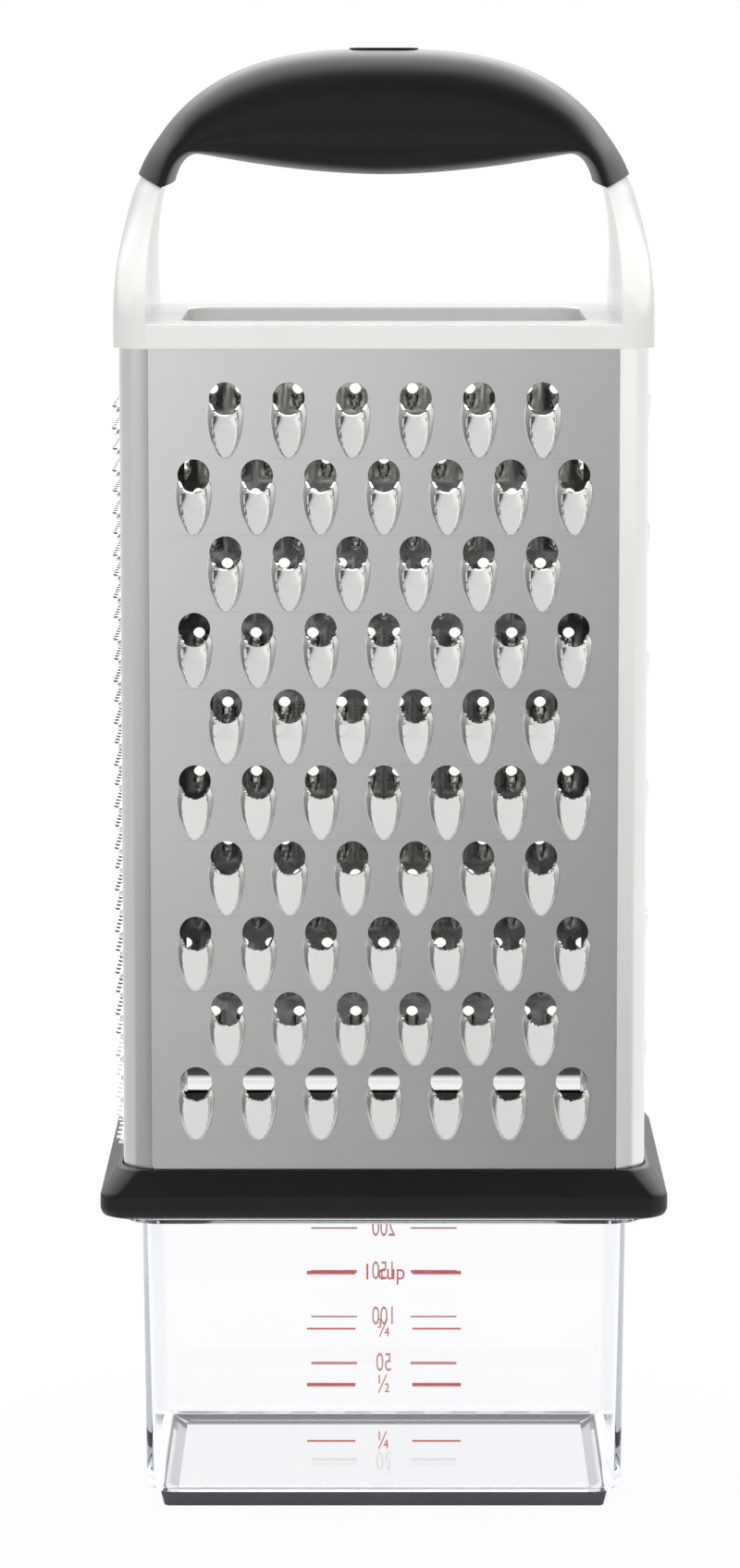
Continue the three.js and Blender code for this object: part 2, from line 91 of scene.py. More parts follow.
def add_node(tree, kind, settings=None, inputs=None):
    """A node with its settings and inputs. An input is a value, a socket, or a node's first output."""
    node = tree.nodes.new(kind)
    for name, value in (settings or {}).items():
        setattr(node, name, value)
    for socket, value in (inputs or {}).items():
        source = value.outputs[0] if isinstance(value, bpy.types.Node) else value
        if isinstance(source, bpy.types.NodeSocket):
            tree.links.new(source, node.inputs[socket])
        else:
            node.inputs[socket].default_value = source
    return node


def new_finish(name, pale, grey, cloud, detail=3):
    """A node material whose colour drifts between two shades, in clouds of a real size.
    Gives the material, its nodes, the place on the piece, the drift and the colour."""
    finish = bpy.data.materials.new(name)
    finish.use_nodes = True
    tree = finish.node_tree
    tree.nodes.clear()
    place = add_node(tree, "ShaderNodeTexCoord").outputs["Object"]
    drift = add_node(tree, "ShaderNodeTexNoise", inputs={
        "Vector": place, "Scale": 1 / cloud, "Detail": detail})
    tone = add_node(tree, "ShaderNodeMix", {"data_type": "RGBA"}, {
        "Factor": drift, 6: to_linear(pale), 7: to_linear(grey)}).outputs[2]
    return finish, tree, place, drift, tone


def plan(offset, least=LEAST_CORNER, radius=None):
    """The tube's plan, moved out or in, counter-clockwise from the front right corner.
    A point on the flat beside each corner keeps the flats flat when the piece is shaded smooth."""
    radius = radius or max(CORNER + offset, least)
    centre_x = BODY_X + offset - radius
    centre_y = BODY_Y + offset - radius * math.sin(CORNER_SWEEP)
    starts = [(1, -1, -CORNER_SWEEP), (1, 1, 0), (-1, 1, math.pi - CORNER_SWEEP), (-1, -1, math.pi)]
    flats = [Vector((1, 0)), Vector((0, 1)), Vector((-1, 0)), Vector((0, -1))]
    points = []
    for i, (side_x, side_y, start) in enumerate(starts):
        arc = []
        for step in range(CORNER_STEPS + 1):
            angle = start + CORNER_SWEEP * step / CORNER_STEPS
            arc.append(Vector((side_x * centre_x + radius * math.cos(angle),
                               side_y * centre_y + radius * math.sin(angle))))
        points += [arc[0] - flats[i] * FLAT_SUPPORT, *arc, arc[-1] + flats[(i + 1) % 4] * FLAT_SUPPORT]
    return points


def rounded(corners):
    """Profile of (offset, height, radius) corners, each radius drawn as a short curve between two
    support points. A fourth value is the plan's own corner radius there."""
    spots = [Vector((x, z, *more)) for x, z, radius, *more in corners]
    profile = []
    for i, here in enumerate(spots):
        radius = corners[i][2]
        if radius == 0:
            profile.append(tuple(here))
            continue
        before = spots[i - 1] - here
        after = spots[(i + 1) % len(spots)] - here
        reach = min(radius, before.length * ROUND_MOST, after.length * ROUND_MOST)
        start = here + before.normalized() * reach
        end = here + after.normalized() * reach
        profile.append(tuple(here.lerp(start, ROUND_SUPPORT)))
        for step in range(ROUND_STEPS + 1):
            t = step / ROUND_STEPS
            profile.append(tuple(start * (1 - t) ** 2 + here * 2 * t * (1 - t) + end * t ** 2))
        profile.append(tuple(here.lerp(end, ROUND_SUPPORT)))
    return profile


def loft(loops, ring):
    """Points and faces through loops of equal counts: a closed ring of loops, or a capped body."""
    count = len(loops[0])
    points = [p for loop in loops for p in loop]
    faces = []
    for span in range(len(loops) if ring else len(loops) - 1):
        here, there = span * count, (span + 1) % len(loops) * count
        for side in range(count):
            along = (side + 1) % count
            faces.append((here + side, here + along, there + along, there + side))
    if not ring:
        faces.append(tuple(range(count))[::-1])
        faces.append(tuple(range((len(loops) - 1) * count, len(loops) * count)))
    return points, faces


def moulding(profile, ring=True, least=LEAST_CORNER):
    """Skin of a profile of (offset, height) or (offset, height, plan corner) points round the plan."""
    loops = []
    for offset, z, *corner in profile:
        loops.append([(x, y, z) for x, y in plan(offset, least, *corner)])
    return loft(loops, ring)


def weld(mesh):
    """Joins doubled points and turns the faces one way, outwards on a closed mesh."""
    shape = bmesh.new()
    shape.from_mesh(mesh)
    bmesh.ops.remove_doubles(shape, verts=shape.verts, dist=WELD)
    bmesh.ops.recalc_face_normals(shape, faces=shape.faces)
    shape.to_mesh(mesh)
    shape.free()


def add_object(name, data):
    holder = bpy.data.objects.new(name, data)
    bpy.context.collection.objects.link(holder)
    return holder


def make_piece(name, points, faces, finish, crease=32):
    """Closed mesh at the origin with its faces outwards, smooth up to the crease angle."""
    mesh = bpy.data.meshes.new(name)
    mesh.from_pydata(points, [], faces)
    weld(mesh)
    mesh.shade_smooth()
    mesh.set_sharp_from_angle(angle=math.radians(crease))
    mesh.materials.append(finish)
    return add_object(name, mesh)


# Clear moulded SAN looks like water-white glass: sharp reflections, hardly any tint, and a trace of
# the flow of the melt in its gloss.
clear_san, tree, _, flow, tint = new_finish(
    "clear_SAN_injection_moulded", CLEAR_TINT, CLEAR_STREAK, FLOW_LINE, detail=2)
gloss = add_node(tree, "ShaderNodeMapRange", inputs={"Value": flow, "To Min": 0.012, "To Max": 0.03})
shell = add_node(tree, "ShaderNodeBsdfPrincipled", inputs={
    "Base Color": tint, "Roughness": gloss, "IOR": CLEAR_IOR, "Transmission Weight": 1.0})
# Light that runs along inside a wall comes out at its far end instead of being lost after many turns
ray = add_node(tree, "ShaderNodeLightPath")
lost = add_node(tree, "ShaderNodeMath", {"operation": "GREATER_THAN"}, {
    0: ray.outputs["Ray Depth"], 1: MOST_TURNS})
out = add_node(tree, "ShaderNodeBsdfTransparent", inputs={"Color": to_linear(CLEAR_DEEP)})
wall_light = add_node(tree, "ShaderNodeMixShader", inputs={"Fac": lost, 1: shell, 2: out})
add_node(tree, "ShaderNodeOutputMaterial", inputs={"Surface": wall_light})


def quarter_round(wall, level, width, height):
    """Quarter round from its level end up to its upright end, as (offset, height) points."""
    angles = [math.pi / 2 * step / BLEND_STEPS for step in range(BLEND_STEPS + 1)]
    return [(wall - width + width * math.sin(a), level + height - height * math.cos(a)) for a in angles]


floor_top = FLOOR_UNDERSIDE + TUB_FLOOR
floor_edge = -TUB_INSET_BOTTOM - TUB_WALL - TUB_BLEND[0]
heel = quarter_round(-TUB_INSET_BOTTOM, FLOOR_UNDERSIDE + TUB_HEEL_RISE, TUB_HEEL, TUB_HEEL)
inside = quarter_round(-TUB_INSET_BOTTOM - TUB_WALL, floor_top, *TUB_BLEND)[::-1]
wall_foot = Vector(heel[-1]).lerp((-TUB_INSET_TOP, RIM_TOP - RIM_THICKNESS), NEAR_END)
inner_foot = Vector(inside[0]).lerp((-TUB_INSET_TOP - TUB_WALL, RIM_TOP + LIP_HEIGHT), NEAR_END)
tub_profile = [(floor_edge, FLOOR_UNDERSIDE), *heel, tuple(wall_foot)] + rounded([
    (-TUB_INSET_TOP, RIM_TOP - RIM_THICKNESS, TUB_ROUND),
    (RIM_PROUD, RIM_TOP - RIM_THICKNESS, RIM_ROUND),
    (RIM_PROUD, RIM_TOP, RIM_ROUND),
    (-TUB_INSET_TOP, RIM_TOP, LIP_ROOT_ROUND),
    (-TUB_INSET_TOP, RIM_TOP + LIP_HEIGHT, TUB_ROUND),
    (-TUB_INSET_TOP - TUB_WALL, RIM_TOP + LIP_HEIGHT, TUB_ROUND)])
tub_profile += [tuple(inner_foot), *inside, (floor_edge - FLAT_SUPPORT, floor_top)]
container = make_piece("clear_container", *moulding(tub_profile, ring=False), clear_san, crease=20)
container.visible_shadow = False
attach(container, "tub")
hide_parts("container")

# Measuring marks: red ink, pad-printed on the outside of the front and back walls.
# Cups stand on the front, millilitres on the back, which shows through the clear tub.
INK_RED = "#e57c7a"
INK_THIN = "#ea918d"
# Paler red for the millilitres seen through the tub: painted haze, standing in for the light that the tub's
# two walls lay over them
INK_RED_PAINTED_HAZE = "#f5c4c0"
INK_THIN_PAINTED_HAZE = "#f8d0cc"
INK_THICKNESS = 0.03 * MM
INK_SPECK = 0.4 * MM
DASH_GAP = 5.5 * MM
DASH_LENGTH = 9.4 * MM
WORD_GAP = 0.9 * MM
INK_LIFT = 0.75 * INK_THICKNESS
# Height in mm, word, thickness of its dashes in mm, size of its letters in mm and their width
CUP_MARKS = [
    (47.2, "1 cup", 0.7, 4.5, 0.83), (36.1, "¾", 0.36, 5.0, 0.68), (25.0, "½", 0.7, 5.0, 0.68),
    (13.8, "¼", 0.36, 5.0, 0.68)]
MILLILITRE_MARKS = [
    (41.4, "200", 0.36, 5.4, 0.62), (32.4, "150", 0.6, 5.4, 0.62), (23.0, "100", 0.36, 5.4, 0.62),
    (13.3, "50", 0.6, 5.4, 0.62)]


def ink_finish(name, full, thin):
    """A thin matt film of ink, a little uneven, that lets some light through."""
    finish, tree, _, _, tone = new_finish(name, full, thin, INK_SPECK)
    ink = add_node(tree, "ShaderNodeBsdfPrincipled", inputs={
        "Base Color": tone, "Roughness": 0.5, "Specular IOR Level": 0.3})
    glow = add_node(tree, "ShaderNodeBsdfTranslucent", inputs={"Color": tone})
    film = add_node(tree, "ShaderNodeMixShader", inputs={"Fac": 0.5, 1: ink, 2: glow})
    add_node(tree, "ShaderNodeOutputMaterial", inputs={"Surface": film})
    return finish


red_ink = ink_finish("red_pad_printing_ink", INK_RED, INK_THIN)
# The back marks get the paler red: painted haze for the light of the walls in front of them
painted_haze_ink = ink_finish("red_ink_with_painted_haze", INK_RED_PAINTED_HAZE, INK_THIN_PAINTED_HAZE)


def wall_inset(z):
    share = (z - FLOOR_UNDERSIDE) / (RIM_TOP - FLOOR_UNDERSIDE)
    return TUB_INSET_BOTTOM + (TUB_INSET_TOP - TUB_INSET_BOTTOM) * share


def print_scale(name, marks, ink, back):
    """One printed scale: dashes beside a word or number at each height, laid on the wall."""
    ink_shape = bmesh.new()
    for height, word, thickness, letter, width in marks:
        z = height * MM
        scratch = bpy.data.curves.new("word", "FONT")
        scratch.body = word
        scratch.size = letter * MM
        scratch.align_x = "CENTER"
        scratch.align_y = "CENTER"
        scratch.extrude = INK_THICKNESS / 2
        holder = add_object("word", scratch)
        lettering = holder.to_mesh()
        turn = Matrix.Rotation(math.pi / 2, 4, "X") @ Matrix.Diagonal((width, 1, 1, 1))
        lettering.transform(turn)
        start = len(ink_shape.verts)
        ink_shape.from_mesh(lettering)
        holder.to_mesh_clear()
        bpy.data.objects.remove(holder)
        word_half = max(abs(v.co.x) for v in list(ink_shape.verts)[start:])
        reach = max(DASH_GAP, word_half + WORD_GAP)
        for side in (-1, 1):
            middle = side * (reach + DASH_LENGTH / 2)
            size = Matrix.Diagonal((DASH_LENGTH, INK_THICKNESS, thickness * MM, 1))
            bmesh.ops.create_cube(ink_shape, size=1, matrix=Matrix.Translation((middle, 0, 0)) @ size)
        ink_shape.verts.ensure_lookup_table()
        for vert in ink_shape.verts[start:]:
            level = vert.co.z + z
            vert.co = (vert.co.x, vert.co.y - (BODY_Y - wall_inset(level) + INK_LIFT), level)
    if back:
        bmesh.ops.rotate(ink_shape, verts=ink_shape.verts, matrix=Matrix.Rotation(math.pi, 3, "Z"))
    mesh = bpy.data.meshes.new(name)
    ink_shape.to_mesh(mesh)
    ink_shape.free()
    mesh.materials.append(ink)
    marks_piece = add_object(name, mesh)
    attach(marks_piece, "tub")


print_scale("cup_marks", CUP_MARKS, red_ink, back=False)
print_scale("millilitre_marks", MILLILITRE_MARKS, painted_haze_ink, back=True)

# Non-slip foot: a thin soft skirt under the tub, moulded of thermoplastic rubber and pressed
# against the slope of the underside. Its dark grey, lighter than the ring's black, is painted sheen:
# it stands in for the bright table that the foot's front mirrors.
foot_low, foot_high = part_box("container_foot")
FOOT_TAPER = 0.7 * MM
FOOT_WALL = 0.5 * MM
FOOT_ROUND = 0.3 * MM
FOOT_TIP_ROUND = 0.2 * MM
FOOT_GAP = 0.2 * MM
# Painted sheen: both greys are lighter than the ring's black, standing in for the table the foot's front
# mirrors
FOOT_GREY_PAINTED_SHEEN = "#47474d"
FOOT_PALER_PAINTED_SHEEN = "#525258"
RUBBER_GRAIN = 0.35 * MM
RUBBER_CLOUD = 9 * MM


def rubber_finish(name, black, wear_and_sheen):
    """Soft rubber is matt: a fine eroded grain blurs every reflection, and only grazing light
    turns it grey."""
    finish, tree, place, cloud, tone = new_finish(name, black, wear_and_sheen, RUBBER_CLOUD, detail=4)
    grain = add_node(tree, "ShaderNodeTexNoise", inputs={
        "Vector": place, "Scale": 1 / RUBBER_GRAIN, "Detail": 3})
    gloss = add_node(tree, "ShaderNodeMapRange", inputs={"Value": cloud, "To Min": 0.36, "To Max": 0.44})
    relief = add_node(tree, "ShaderNodeBump", inputs={
        "Height": grain, "Strength": 0.12, "Distance": 0.03 * MM})
    rubber = add_node(tree, "ShaderNodeBsdfPrincipled", inputs={
        "Base Color": tone, "Roughness": gloss,
        "Normal": relief, "IOR": 1.5, "Specular IOR Level": 0.3})
    add_node(tree, "ShaderNodeOutputMaterial", inputs={"Surface": rubber})
    return finish


# The foot's lighter grey is painted sheen; the ring's two blacks differ at random, as wear
sheen_grey_rubber = rubber_finish("grey_rubber_with_painted_sheen", FOOT_GREY_PAINTED_SHEEN, FOOT_PALER_PAINTED_SHEEN)
foot_side = foot_high.x - BODY_X
slope_share = (foot_side - FOOT_WALL - floor_edge) / (heel[0][0] - floor_edge)
slope_height = FLOOR_UNDERSIDE + (heel[0][1] - FLOOR_UNDERSIDE) * slope_share
foot_profile = rounded([
    (foot_side - FOOT_TAPER, foot_low.z, FOOT_ROUND),
    (foot_side, foot_high.z, FOOT_ROUND),
    (foot_side - FOOT_WALL, slope_height - FOOT_GAP, FOOT_TIP_ROUND),
    (foot_side - FOOT_TAPER - FOOT_WALL, foot_low.z, FOOT_ROUND)])
foot = make_piece("rubber_foot", *moulding(foot_profile), sheen_grey_rubber)
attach(foot, "tub")
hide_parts("container_foot")

# Hard frame inside the grater's foot: black ABS, injection-moulded, with a ledge that the panels
# stand on. The soft ring is moulded over it.
FRAME_BLACK = "#1d1d20"
FRAME_GREY = "#2a2a2e"
FRAME_GRAIN = 0.6 * MM

black_abs, tree, _, _, tone = new_finish(
    "black_ABS_injection_moulded", FRAME_BLACK, FRAME_GREY, FRAME_GRAIN)
abs_shader = add_node(tree, "ShaderNodeBsdfPrincipled", inputs={
    "Base Color": tone, "Roughness": 0.4, "IOR": 1.53})
add_node(tree, "ShaderNodeOutputMaterial", inputs={"Surface": abs_shader})
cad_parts["base_frame"].data.materials.clear()
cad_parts["base_frame"].data.materials.append(black_abs)

# Base ring: soft black rubber moulded over the hard frame. It stands upright below, slopes in to the
# panels above, and all its outer edges are rounded.
RUBBER_BLACK = "#131317"
RUBBER_WORN = "#18181d"
soft_rubber = rubber_finish("black_thermoplastic_rubber_moulded", RUBBER_BLACK, RUBBER_WORN)
ring_low, ring_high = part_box("base_ring")
RING_SWELL = 0.6 * MM
RING_PROUD = ring_high.x - BODY_X + RING_SWELL
RING_UPRIGHT = 4.6 * MM
RING_EDGE = 0.7 * MM
RING_SEAT = 0.2 * MM
RING_CORNER = 4.5 * MM
RING_ROUND = 1.7 * MM
RING_CHAMFER = 0.3 * RING_ROUND
RING_TOP_CORNER = 6 * MM
RING_BOTTOM_SOFT = 0.3 * MM
RING_SOFT = 0.6 * MM
RING_TOP_SOFT = 0.4 * MM
RING_LIP_SOFT = 0.15 * MM
RING_INNER_SOFT = 0.2 * MM
LEDGE_HEIGHT = 1.8 * MM
LEDGE_REACH = 1.8 * MM
LEDGE_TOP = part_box("base_frame")[0].z + LEDGE_HEIGHT
frame_reach = LEDGE_REACH + RING_SEAT
ring_profile = rounded([
    (RING_PROUD - RING_ROUND, ring_low.z, RING_BOTTOM_SOFT, RING_CORNER),
    (RING_PROUD - RING_CHAMFER, ring_low.z + RING_CHAMFER, RING_SOFT, RING_CORNER),
    (RING_PROUD, ring_low.z + RING_ROUND, RING_SOFT, RING_CORNER),
    (RING_PROUD, ring_low.z + RING_UPRIGHT, RING_SOFT, RING_CORNER),
    (RING_SEAT + RING_EDGE, ring_high.z, RING_TOP_SOFT, RING_TOP_CORNER),
    (RING_SEAT, ring_high.z, RING_LIP_SOFT, CORNER + RING_SEAT),
    (RING_SEAT, LEDGE_TOP + RING_SEAT, 0, CORNER + RING_SEAT),
    (frame_reach, LEDGE_TOP + RING_SEAT, 0, CORNER + frame_reach),
    (frame_reach, ring_low.z, RING_INNER_SOFT, CORNER + frame_reach)])
base_ring = make_piece("soft_base_ring", *moulding(ring_profile), soft_rubber, crease=40)
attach(base_ring, "grater")
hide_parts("base_ring")

# Coarse panel: flat stainless sheet at the front, punched with staggered scoops that push out of it.
# Each scoop starts at a round hole, whose lower edge is the cutting lip.
SHEET = 0.5 * MM
panel_low, panel_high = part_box("front_panel")
HALF_FLAT = panel_high.x
SCOOP_ROUNDNESS = 0.55
SCOOP_WALL = 3.4
SCOOP_BEND = 0.45
SCOOP_FILLET = 0.09
SCOOP_TIP = 0.05
FULL_DROP_AT = 0.5
FINER = 4
ROOT_SUPPORT = 0.12 * MM
INSET_KEPT = 0.92
EDGE_CLEAR = 0.1
ON_EDGE = 1e-6
CELL_NEAREST = 1e-7
CELL_WELD = 0.01 * MM
PANEL_CREASE = math.radians(38)
STEEL_PALE = "#e9e9e6"
STEEL_GREY = "#dededb"
INNER_PALE = "#bcbbb7"
INNER_GREY = "#a9a8a5"
# The inside of the sheet below the last teeth, which the punch never touched: colour, gloss and top
PLAIN_PALE = "#f4f4f2"
PLAIN_GLOSS = 0.03
PLAIN_BELOW = 78.5 * MM
STEEL_GRAIN = 0.5 * MM
STEEL_WAVE = 6 * MM
STEEL_CLOUD = 30 * MM
STEEL_SPECKLE = 0.04


def steel_finish(name, pale, grey, flat_gloss, pressed_gloss, ripple, plain_below=0.0):
    """Cold-rolled stainless steel: a soft mirror where it is flat, a sharper one where the punch
    stretched it. The margin below the last teeth stays as it came from the mill, plain and bright."""
    finish, tree, place, _, tone = new_finish(name, pale, grey, STEEL_CLOUD)
    grain = add_node(tree, "ShaderNodeTexNoise", inputs={
        "Vector": place, "Scale": 1 / STEEL_GRAIN, "Detail": 4})
    pressed = add_node(tree, "ShaderNodeAttribute", {"attribute_name": "pressed"})
    polish = add_node(tree, "ShaderNodeMapRange", inputs={
        "Value": pressed.outputs["Fac"], "To Min": flat_gloss, "To Max": pressed_gloss})
    gloss = add_node(tree, "ShaderNodeMath", {"operation": "MULTIPLY_ADD"}, {
        0: grain, 1: STEEL_SPECKLE, 2: polish})
    wave = add_node(tree, "ShaderNodeTexNoise", inputs={
        "Vector": place, "Scale": 1 / STEEL_WAVE, "Detail": 1})
    axes = add_node(tree, "ShaderNodeSeparateXYZ", inputs={"Vector": place})
    worked = add_node(tree, "ShaderNodeMapRange", {"interpolation_type": "SMOOTHSTEP"}, {
        "Value": axes.outputs["Z"], "From Min": plain_below, "From Max": plain_below + STEEL_GRAIN})
    bright = add_node(tree, "ShaderNodeMix", {"data_type": "RGBA"}, {
        "Factor": worked, 6: to_linear(PLAIN_PALE), 7: tone})
    rough = add_node(tree, "ShaderNodeMix", {"data_type": "FLOAT"}, {
        0: worked, 2: PLAIN_GLOSS, 3: gloss})
    swell = add_node(tree, "ShaderNodeMath", {"operation": "MULTIPLY"}, {0: worked, 1: ripple})
    relief = add_node(tree, "ShaderNodeBump", inputs={
        "Height": wave, "Strength": 1.0, "Distance": swell})
    metal = add_node(tree, "ShaderNodeBsdfPrincipled", inputs={
        "Base Color": bright.outputs[2], "Metallic": 1.0, "Roughness": rough, "Normal": relief})
    add_node(tree, "ShaderNodeOutputMaterial", inputs={"Surface": metal})
    return finish


steel = steel_finish("stainless_steel_bright_annealed_sheet", STEEL_PALE, STEEL_GREY,
                     flat_gloss=0.16, pressed_gloss=0.05, ripple=0.004 * MM)
inner_steel = steel_finish("stainless_steel_mill_face_inside", INNER_PALE, INNER_GREY,
                           flat_gloss=0.13, pressed_gloss=0.1, ripple=0.1 * MM, plain_below=PLAIN_BELOW)


def scoop_outline(width, neck, shoulder, waist, length, count):
    """Half-widths and heights along a scoop, from its left shoulder round the tip to the right one."""
    points = []
    for i in range(count + 1):
        share = i / count
        z = -shoulder - (length - shoulder) * math.sin(math.pi * share)
        if z > -waist:
            swell = math.sin(math.pi / 2 * (-z - shoulder) / (waist - shoulder))
            half = neck + (width - neck) * swell
        else:
            half = width * max(0.0, 1 - ((-z - waist) / (length - waist)) ** 2) ** SCOOP_ROUNDNESS
        points.append((half if share > 0.5 else -half, z))
    return points


def distance_to(line, u, z):
    """Shortest way from a point to an open line of points."""
    here = Vector((u, z))
    best = 1.0
    for a, b in zip(line, line[1:]):
        share = geometry.intersect_point_line(here, Vector(a), Vector(b))[1]
        share = min(max(share, 0.0), 1.0)
        best = min(best, (here.to_3d() - Vector(a).to_3d().lerp(Vector(b).to_3d(), share)).length)
    return best


def inside_loop(point, loop):
    crossings = 0
    for (ax, ay), (bx, by) in zip(loop, loop[1:] + loop[:1]):
        if (ay > point.y) != (by > point.y):
            crossings += point.x < ax + (point.y - ay) * (bx - ax) / (by - ay)
    return crossings % 2 == 1


def cell_border(width, bottom, top):
    half = width / 2
    return [(-half, bottom), (0, bottom), (half, bottom), (half, top), (0, top), (-half, top)]


def faces_outside(found, hole):
    """Faces of a triangulation whose middles lie outside the hole."""
    faces = []
    for face in found[2]:
        middle = sum((found[0][i] for i in face), Vector((0, 0))) / len(face)
        if not inside_loop(middle, hole):
            faces.append(list(face))
    return faces


def cell_object(name, points, faces):
    """A tooth in its rectangle of sheet, facing -Y, with the metal that the punch stretched marked."""
    mesh = bpy.data.meshes.new(name)
    mesh.from_pydata([point for point, raised in points], [], faces)
    pressed = mesh.attributes.new("pressed", "FLOAT", "POINT")
    pressed.data.foreach_set("value", [float(raised) for point, raised in points])
    weld(mesh)
    if max(mesh.polygons, key=lambda face: face.area).normal.y > 0:
        mesh.flip_normals()
    return bpy.data.objects.new(name, mesh)


def tooth_cell(name, width, top, bottom, upper, root, edge, insets, height_at):
    """One punched tooth. The upper line is the hole's flat side and the edge its raised lip, the root is
    where the tooth leaves the sheet. Lines at the inset distances run along inside the root, and
    height_at gives every point in there its height over the sheet."""
    border = cell_border(width, bottom, top)
    hole = [*upper, *edge[1:-1]]
    tooth = [*root, *edge[-2:0:-1]]
    support, inner = [], [[] for inset in insets]
    for i in range(1, len(root) - 1):
        run = Vector(root[i + 1]) - Vector(root[i - 1])
        inward = Vector((-run.y, run.x)).normalized()
        if inward.dot(Vector(edge[i]) - Vector(root[i])) < 0:
            inward.negate()
        support.append(tuple(Vector(root[i]) - inward * ROOT_SUPPORT))
        for inset, line in zip(insets, inner):
            spot = Vector(root[i]) + inward * inset
            off_root = distance_to(root, *spot) > INSET_KEPT * inset
            off_edge = distance_to(edge, *spot) > EDGE_CLEAR * insets[-1]
            if off_root and off_edge and inside_loop(spot, tooth):
                line.append(tuple(spot))
    flat, ties = [], []
    for line in (border + border[:1], hole + hole[:1], root, support):
        ties += [(len(flat) + i, len(flat) + i + 1) for i in range(len(line) - 1)]
        flat += [Vector(p) for p in line]
    flat += [Vector(p) for line in inner for p in line]
    found = geometry.delaunay_2d_cdt(flat, ties, [], 0, CELL_NEAREST)
    points = []
    for p in found[0]:
        raised = inside_loop(p, tooth) or distance_to(edge, *p) < ON_EDGE
        points.append(((p.x, -height_at(*p) if raised else 0, p.y), raised))
    return cell_object(name, points, faces_outside(found, hole))


def soft_least(a, b, bend):
    """The lesser of two values, blended where they are within the bend of each other."""
    near = max(bend - abs(a - b), 0.0) / bend
    return min(a, b) - near * near * bend / 4


def scoop_cell(name, grid, hole, lip_drop, width, shoulder, waist, length, rise, count, arc_count, insets):
    """A round hole with a raised scoop below it: a flat ramp between steep side walls."""
    neck = math.sqrt(hole ** 2 - shoulder ** 2)
    dip = math.asin(shoulder / hole)
    upper = []
    for i in range(arc_count + 1):
        angle = -dip + (math.pi + 2 * dip) * i / arc_count
        upper.append((hole * math.cos(angle), hole * math.sin(angle)))
    root = scoop_outline(width, neck, shoulder, waist, length, count)
    fine = scoop_outline(width, neck, shoulder, waist, length, FINER * count)
    edge = []
    for i in range(count + 1):
        angle = math.pi + dip + (math.pi - 2 * dip) * i / count
        drop = hole + (lip_drop - hole) * min(1.0, -math.sin(angle) / FULL_DROP_AT)
        edge.append((hole * math.cos(angle), drop * math.sin(angle)))
    edge[0], edge[-1] = root[0], root[-1]

    def height_at(u, z):
        ramp = rise * (SCOOP_TIP + (1 - SCOOP_TIP) * (z + length) / (length - lip_drop))
        away = distance_to(fine, u, z)
        fillet = SCOOP_FILLET * rise
        wall = SCOOP_WALL * (away ** 2 / (2 * fillet) if away < fillet else away - fillet / 2)
        return max(0.0, soft_least(ramp, wall, SCOOP_BEND * ramp))

    gap = (grid["Row pitch"] - hole - length) / 2
    return tooth_cell(name, grid["Pitch"], hole + gap, -length - gap, upper, root, edge, insets, height_at)


def blank_sheet(name, half, cell_top, grid, bend):
    """The sheet round the tooth cells, facing -Y: margins, strips above and below, and bent edges.
    bend lists the (u, y) stations outside the flat on the right; the left mirrors them."""
    low, high = panel_low.z, panel_high.z
    pitch, row_pitch = grid["Pitch"], grid["Row pitch"]
    most, rows = grid["Most in a row"], grid["Rows"]
    wide = most * pitch / 2
    top = grid["First row"] + cell_top
    bottom = top - rows * row_pitch
    quads = []
    steps = [-wide + pitch / 2 * i for i in range(2 * most + 1)]
    lines = [-half, *steps, half]
    for a, b in zip(lines, lines[1:]):
        quads.append([(a, 0, low), (b, 0, low), (b, 0, bottom), (a, 0, bottom)])
        quads.append([(a, 0, top), (b, 0, top), (b, 0, high), (a, 0, high)])
    for row in range(rows):
        z1, z0 = top - row * row_pitch, top - (row + 1) * row_pitch
        edges = [half, wide]
        if grid["Stagger"] and row % 2 == grid["Full top row"]:
            edges.append(wide - pitch / 2)
        for a, b in zip(edges, edges[1:]):
            quads.append([(b, 0, z0), (a, 0, z0), (a, 0, z1), (b, 0, z1)])
            quads.append([(-a, 0, z0), (-b, 0, z0), (-b, 0, z1), (-a, 0, z1)])
    levels = [low] + [bottom + row_pitch * i for i in range(rows)] + [top, high]
    stations = [(half, 0), *bend]
    for z0, z1 in zip(levels, levels[1:]):
        for (ua, ya), (ub, yb) in zip(stations, stations[1:]):
            quads.append([(ua, ya, z0), (ub, yb, z0), (ub, yb, z1), (ua, ya, z1)])
            quads.append([(-ub, yb, z0), (-ua, ya, z0), (-ua, ya, z1), (-ub, yb, z1)])
    points = [p for quad in quads for p in quad]
    faces = [range(4 * i, 4 * i + 4) for i in range(len(quads))]
    mesh = bpy.data.meshes.new(name)
    mesh.from_pydata(points, [], faces)
    return add_object(name, mesh)


